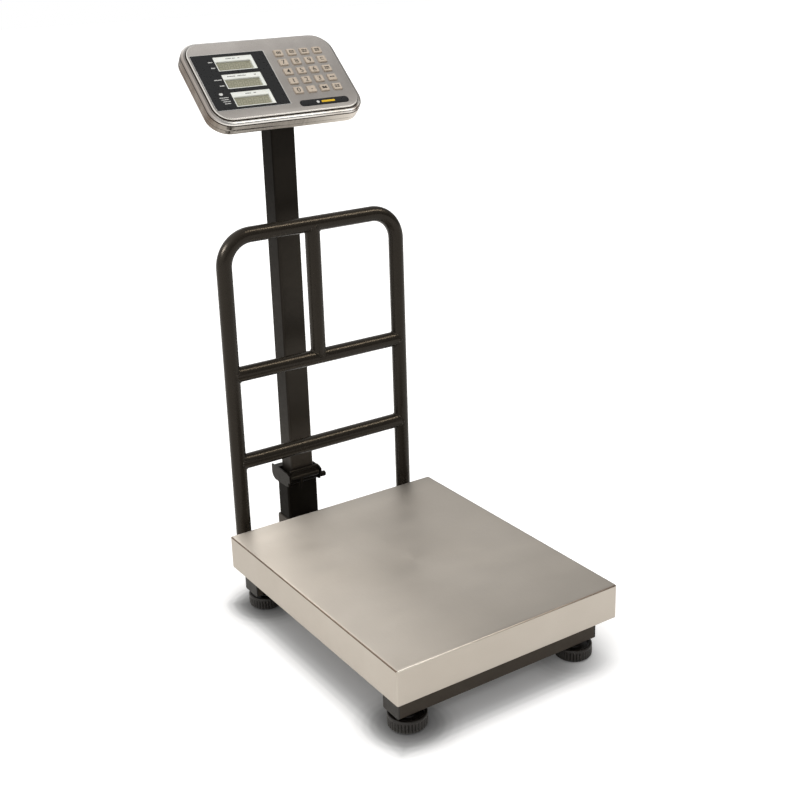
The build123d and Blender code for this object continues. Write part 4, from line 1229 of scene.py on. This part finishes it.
def display_frame(number, top, labels):
    """White frame in a window, with a flange behind the plate."""
    piece = Piece(head_point)
    half_u, half_v = (WINDOW_RIGHT - WINDOW_LEFT) / 2, WINDOW_HEIGHT / 2
    middle = ((WINDOW_LEFT + WINDOW_RIGHT) / 2, top - half_v)
    outer = rounded(half_u - 0.2, half_v - 0.2, 0.7, 3, *middle)
    flange = rounded(half_u + 2, half_v + 2, 1.0, 3, *middle)

    def opening(margin, radius):
        return rounded((GLASS_RIGHT - GLASS_LEFT) / 2 + margin, GLASS_HEIGHT / 2 + margin,
                       radius, 3, *glass_middle(top))
    wide, middle_step, narrow = opening(0.7, 0.5), opening(0.25, 0.35), opening(0, 0.25)
    rims = piece.sheet([grow(outer, -0.3), wide], -1.0)
    outside = piece.walls(rims[0], (outer, -1.3), (outer, -2.0), (flange, -2.0),
                          (flange, -3.4), (outer, -3.4), (outer, -4.0))
    inside = piece.walls(rims[1], (middle_step, -1.25), (narrow, -1.9), (narrow, -4.0))
    piece.bridge(outside, inside)
    for u0, u1 in labels:
        dashes(piece, u0, u1, top - 4.9, height=1.9, gap=0.45, seed=u0, w0=-1.01, w1=-0.95)
    build(f"display_frame_{number}", piece, ("bezel", "unit_print"), "head", "white_plastic",
          replaces="lcd_bezels", sharp=30)


# Digits on the glass: height, width, slant, stroke and pitch
DIGIT_H, DIGIT_W, SLANT, STROKE, DIGIT_PITCH = 11.6, 6.3, 0.14, 0.95, 9.9

# The seven strokes of a digit: (x, y, length, upright)
STROKES = ([(0, y, DIGIT_W, False) for y in (DIGIT_H / 2, 0, -DIGIT_H / 2)]
           + [(x, y, DIGIT_H / 2, True) for x in (DIGIT_W / 2, -DIGIT_W / 2)
              for y in (DIGIT_H / 4, -DIGIT_H / 4)])


def stroke_outline(mid_x, mid_y, length, upright):
    """Six-sided stroke with pointed ends, slanted."""
    half, gap = STROKE / 2, 0.25
    tip = length / 2 - gap
    flat = length / 2 - half - gap
    points = [(-tip, 0), (-flat, half), (flat, half), (tip, 0), (flat, -half), (-flat, -half)]
    if upright:
        points = [(y, x) for x, y in points]
    return [(mid_x + x + SLANT * (mid_y + y), mid_y + y) for x, y in points]


def display_segments(number, top):
    """Idle segments and decimal points on the glass."""
    piece = Piece(head_point)
    low, high = -3.995, -3.96
    mid_v = glass_middle(top)[1] - 0.4
    for digit in range(6):
        mid_u = GLASS_LEFT + 6.4 + digit * DIGIT_PITCH
        for stroke in STROKES:
            outline = [(mid_u + x, mid_v + y) for x, y in stroke_outline(*stroke)]
            piece.prism(outline, low, high)
        point = rounded(0.5, 0.5, 0.48, 3, mid_u + DIGIT_W / 2 + 1.3, mid_v - DIGIT_H / 2)
        piece.prism(point, low, high)
    build(f"display_segments_{number}", piece, ("ghost",), "head", "lcd", sharp=30)


# --------------------------------------------------------------- keys
KEY_TOP = 2.5
KEY_TAPER = 0.249            # inset per millimetre of height

# Function key legends as rows of bars: (v above the middle, number of bars)
LEGEND_ROWS = {2: ((1.6, 2), (-1.6, 3)), 3: ((1.8, 3), (-1.6, 2)), 4: ((1.6, 2), (-1.7, 2)),
               6: ((1.6, 3), (-1.6, 3)), 7: ((0.4, 2),), 8: ((1.3, 2), (-1.3, 1)),
               9: ((1.7, 2), (-1.5, 2))}


def key_legend(piece, name, u, v):
    dish = KEY_TOP - 0.17        # level of the dished top
    low, high = dish - 0.02, dish + 0.09

    def bar(u0, u1, v0, v1, radius):
        mark(piece, u + u0, u + u1, v + v0, v + v1, low, high, radius)
    if name.isdigit():
        figure(piece, name, 13.6, u, v, dish + 0.03, depth=0.12)
        return
    if name == "point":
        piece.prism(rounded(1.15, 1.15, 1.1, 6, u, v - 0.6), low, high, 1)
        return
    number = int(name[2:])
    if number == 1:
        # three upright bars
        for k in range(3):
            bar(-3.9 + k * 2.9, -2.1 + k * 2.9, -2.6, 2.6, 0.4)
    elif number == 5:
        # a bracket open to the right
        for mid in (2.2, -2.2):
            bar(-2.6, 2.6, mid - 0.5, mid + 0.5, 0.3)
        bar(-3.0, -2.0, -2.2, 2.2, 0.3)
    else:
        span = 9.6
        for mid, count in LEGEND_ROWS[number]:
            for k in range(count):
                left = -span / 2 + k * span / count
                right = left + span / count - 0.35 - 0.6 * scatter(k, number)
                bar(left + 0.25, right, mid - 1.1, mid + 1.1, 0.25)


def keycap(name, u, v):
    piece = Piece(head_point)

    def ring(inset, radius, w):
        return rounded(KEY_U - inset, KEY_V - inset, radius, 6, u, v, w)
    # flange behind the plate, then the tapered sides
    corner = 1.8
    rings = [ring(-1.5, corner, -3.3), ring(-1.5, corner, -2.2),
             ring(0, corner, -2.2), ring(0, corner, 0.0)]
    rings += [ring(KEY_TAPER * w, corner - KEY_TAPER * w * .6, w) for w in (0.5, 1.0, 1.5)]
    # rounded shoulder
    shoulder, radius, sweep = 1.68, 0.85, 76.0
    for k in range(1, 8):
        a = radians(sweep * k / 7)
        w = shoulder + radius * sin(a) / sin(radians(sweep)) * 0.86
        inset = KEY_TAPER * shoulder + radius * (1 - cos(a)) * 1.05
        rings.append(ring(inset, 1.5 - inset * .5, w))
    # slightly dished top: (inset, depth)
    for inset, depth in ((1.5, 0.01), (2.4, 0.06), (3.6, 0.13), (5.2, 0.18)):
        rings.append(ring(inset, max(1.3 - inset * .2, .3), KEY_TOP - depth))
    piece.loft(rings)
    key_legend(piece, name, u, v)
    build(f"keycap_{name}", piece, ("key", "legend"), f"key_{name}_cap", "key_plastic",
          replaces=f"key_{name}", sharp=40)


# --------------------------------------------------------------- stage
def floor_material():
    """Pale floor; the camera sees a painted shadow on it under the platter and around the feet."""
    material = bpy.data.materials.new("pale_floor")
    material.use_nodes = True
    n = Nodes(material.node_tree)
    output = n.new("ShaderNodeOutputMaterial")
    place = n.split(n.coordinates("Object"))
    x, y = place["X"], place["Y"]

    def length(a, b):
        squares = n.math("ADD", n.math("MULTIPLY", a, a), n.math("MULTIPLY", b, b))
        return n.math("SQRT", squares)

    def shade(distance, low, high, stops):
        """Painted shadow: brightness by (distance in metres, value); halved in the ramp to fit 0 to
        1.
        """
        ramp = n.grey_ramp(n.remap(distance, of=(low, high)),
                           [((d - low) / (high - low), value * 0.5) for d, value in stops])
        ramp.node.color_ramp.interpolation = "EASE"
        return n.math("MULTIPLY", ramp, 2.0)

    # signed distance from the platter's outline for the painted shadow, a little further out along
    # the front
    dx = n.math("SUBTRACT", n.math("ABSOLUTE", x), PLATTER_X * MM)
    dy = n.math("MAXIMUM", n.math("SUBTRACT", MID_Y - 0.258, y),
                n.math("SUBTRACT", y, MID_Y + PLATTER_Y * MM))
    outside = length(n.math("MAXIMUM", dx, 0.0), n.math("MAXIMUM", dy, 0.0))
    inside = n.math("MINIMUM", n.math("MAXIMUM", dx, dy), 0.0)
    under = shade(n.math("ADD", outside, inside), -0.06, 0.06, (
        (-0.06, 0.66), (-0.025, 0.54), (-0.012, 0.60), (0.0, 0.78),
        (0.010, 0.97), (0.022, 1.10), (0.036, 1.14)))
    nearest = None
    for foot_x, foot_y in FEET.values():
        distance = length(n.math("SUBTRACT", x, foot_x * MM),
                          n.math("SUBTRACT", y, MID_Y + foot_y * MM))
        nearest = n.math("MINIMUM", nearest, distance) if nearest else distance
    painted_shadow_round_feet = shade(n.math("SUBTRACT", nearest, FOOT_R * MM), 0.0, 0.08, (
        (0.0, 0.36), (0.010, 0.43), (0.020, 0.54), (0.030, 0.73),
        (0.041, 0.87), (0.056, 0.96), (0.08, 1.0)))
    # the painted shadow thins out towards the right
    thin = n.remap(x, of=(0.09, 0.20), to=(0.0, 0.80))
    dark = n.math("MULTIPLY", under, painted_shadow_round_feet)
    full = 1.12
    brightness = n.math("ADD", dark, n.math("MULTIPLY", thin, n.math("SUBTRACT", full, dark)))
    # a faint glow, scaled with the painted shadow, keeps the open floor white to the camera
    albedo, glow = 0.97, 0.12
    colour = n.new("ShaderNodeCombineColor")
    for i in range(3):
        n.link(n.math("MULTIPLY", brightness, albedo), colour.inputs[i])
    seen = n.new("ShaderNodeBsdfDiffuse")
    n.link(colour.outputs[0], seen.inputs[0])
    emission = n.new("ShaderNodeEmission")
    n.link(n.math("MULTIPLY", brightness, glow), emission.inputs[1])
    seen_lit = n.new("ShaderNodeAddShader")
    n.link(seen.outputs[0], seen_lit.inputs[0])
    n.link(emission.outputs[0], seen_lit.inputs[1])
    bounce = n.new("ShaderNodeBsdfDiffuse")
    bounce.inputs[0].default_value = (0.84, 0.82, 0.79, 1)
    camera_switch(n, bounce, seen_lit, output)
    return material


def camera_switch(n, others, camera, output):
    """Shows one shader to the camera and another to all other rays."""
    mix = n.new("ShaderNodeMixShader")
    n.link(n.new("ShaderNodeLightPath").outputs["Is Camera Ray"], mix.inputs[0])
    n.link(others.outputs[0], mix.inputs[1])
    n.link(camera.outputs[0], mix.inputs[2])
    n.link(mix.outputs[0], output.inputs[0])


def make_floor():
    half, z = 14.0, -0.0004
    mesh = bpy.data.meshes.new("floor")
    mesh.from_pydata([(-half, -half, z), (half, -half, z), (half, half, z), (-half, half, z)],
                     [], [(0, 1, 2, 3)])
    ob = bpy.data.objects.new("floor", mesh)
    scene.collection.objects.link(ob)
    mesh.materials.append(floor_material())
    return ob


def make_world():
    """White to the camera, a soft studio gradient to everything else."""
    world = bpy.data.worlds.new("studio")
    scene.world = world
    world.use_nodes = True
    n = Nodes(world.node_tree)
    output = n.new("ShaderNodeOutputWorld")
    direction = n.coordinates("Generated")
    # bright from the camera's left, dim from its right
    sideways = n.new("ShaderNodeVectorMath", operation="DOT_PRODUCT")
    sideways.inputs[1].default_value = (0.829, -0.559, 0.0)
    n.link(direction, sideways.inputs[0])
    side = n.ramp(n.remap(sideways.outputs["Value"], of=(-1.0, 1.0)), [
        (position, (c, c * 0.985, c * 0.965))
        for position, c in ((0.0, 0.95), (0.38, 1.0), (0.62, 0.40), (1.0, 0.24))])
    height = n.grey_ramp(n.remap(n.split(direction)["Z"], of=(-1.0, 1.0)), [
        (0.0, 0.55), (0.5, 0.60), (0.60, 0.85), (0.78, 1.0), (1.0, 1.05)])
    studio = n.new("ShaderNodeBackground")
    studio.inputs[1].default_value = 0.95
    n.link(n.tint(side, height), studio.inputs[0])
    white = n.new("ShaderNodeBackground")
    white.inputs[0].default_value = (1, 1, 1, 1)
    camera_switch(n, studio, white, output)


def area_light(name, place, aim, size, power, colour, only):
    """Rectangle light that reaches only the meshes whose names start with one of only."""
    data = bpy.data.lights.new(name, "AREA")
    data.shape = "RECTANGLE"
    data.size, data.size_y = size
    data.energy = power
    data.color = colour
    ob = bpy.data.objects.new(name, data)
    scene.collection.objects.link(ob)
    z = (Vector(place) - Vector(aim)).normalized()
    x = (Vector((1, 0, 0)) - z * z.x).normalized()
    axes = Matrix((x, z.cross(x), z)).transposed().to_4x4()
    ob.matrix_world = Matrix.Translation(place) @ axes
    receivers = bpy.data.collections.new(name + "_receivers")
    for mesh_ob in scene.objects:
        if mesh_ob.type == "MESH" and mesh_ob.name.startswith(only):
            receivers.objects.link(mesh_ob)
    ob.light_linking.receiver_collection = receivers
    return ob


DARK_PARTS = ("rail_", "column_", "lower_post", "hinge_", "latch_", "clamp_", "head_bracket",
              "foot_knob", "front_cross", "rear_cross", "base_", "rear_outrigger", "beam_end")
HEAD_PARTS = ("head_front_shell", "keycap_", "rear_housing", "display_frame")


def make_lights(floor_ob):
    data = bpy.data.lights.new("overhead", "SUN")
    data.energy = 1.62
    data.angle = radians(75)
    sun = bpy.data.objects.new("overhead", data)
    scene.collection.objects.link(sun)
    towards = Vector((-0.10, -0.22, 0.97)).normalized()
    sun.matrix_world = towards.to_track_quat("Z", "Y").to_matrix().to_4x4()
    sun.visible_glossy = False
    area_light("strip", place=(0.95, -0.55, 2.05), aim=(0.0, 0.15, 0.42), size=(1.5, 0.055),
               power=17, colour=(1.0, 0.88, 0.70), only=DARK_PARTS)
    area_light("bend_glow", place=(-1.75, 0.20, 1.75), aim=(-0.16, 0.17, 0.60), size=(0.45, 0.9),
               power=34, colour=(1.0, 0.97, 0.92), only=("rail_",))
    sheen = area_light("sheen", place=(0.10, 1.45, 1.75), aim=(-0.15, 0.10, 0.12),
                       size=(0.9, 0.9), power=7.0, colour=(1.0, 0.975, 0.94),
                       only=("platter_sheet",))
    # only the floor blocks the sheen, so the rail and head cast no shadow on the platter
    blockers = bpy.data.collections.new("sheen_blockers")
    blockers.objects.link(floor_ob)
    sheen.light_linking.blocker_collection = blockers
    area_light("glint", place=(1.05, -0.62, 1.95), aim=(0.0, 0.0, 0.30), size=(1.3, 0.5),
               power=15, colour=(1.0, 0.96, 0.90), only=("platter_sheet",))
    area_light("head_glow", place=(1.25, -0.85, 2.25), aim=(0.0, 0.27, 0.85), size=(1.5, 1.5),
               power=11, colour=(1.0, 0.97, 0.92), only=HEAD_PARTS)


def make_camera():
    """Camera ahead of the scale, to its left and above it."""
    data = bpy.data.cameras.new("camera")
    camera = bpy.data.objects.new("camera", data)
    scene.collection.objects.link(camera)
    right = Vector((0.82908445, -0.55850745, -0.02623758))
    up = Vector((0.20199862, 0.25544266, 0.94548697))
    forward = Vector((0.52135932, 0.7891885, -0.32460127))
    axes = Matrix((right, up, -forward)).transposed().to_4x4()
    camera.matrix_world = Matrix.Translation(base_point(-991.04, -1496.51, 1076.15)) @ axes
    data.sensor_width = 36.0
    data.lens = 56.9079
    data.shift_x = -0.00984
    data.shift_y = -0.05255
    data.clip_start = 0.01
    data.clip_end = 100.0
    scene.camera = camera
    scene.view_settings.view_transform = "Standard"
    scene.view_settings.look = "None"


# --------------------------------------------------------------- everything
finish_cad_nodes()
platter()
rail_tubework()
rail_welds()
base_welds()
for foot_name, (foot_x, foot_y) in FEET.items():
    foot(foot_name, foot_x, foot_y)
head_shell()
display_panel()
badge_strip()
for number, (top, labels) in enumerate(zip(WINDOW_TOPS, FRAME_LABELS), start=1):
    display_frame(number, top, labels)
    display_segments(number, top)
for key_name, key_u, key_v in KEYS:
    keycap(key_name, key_u, key_v)
floor_ob = make_floor()
make_world()
make_lights(floor_ob)
make_camera()

bpy.context.view_layer.update()
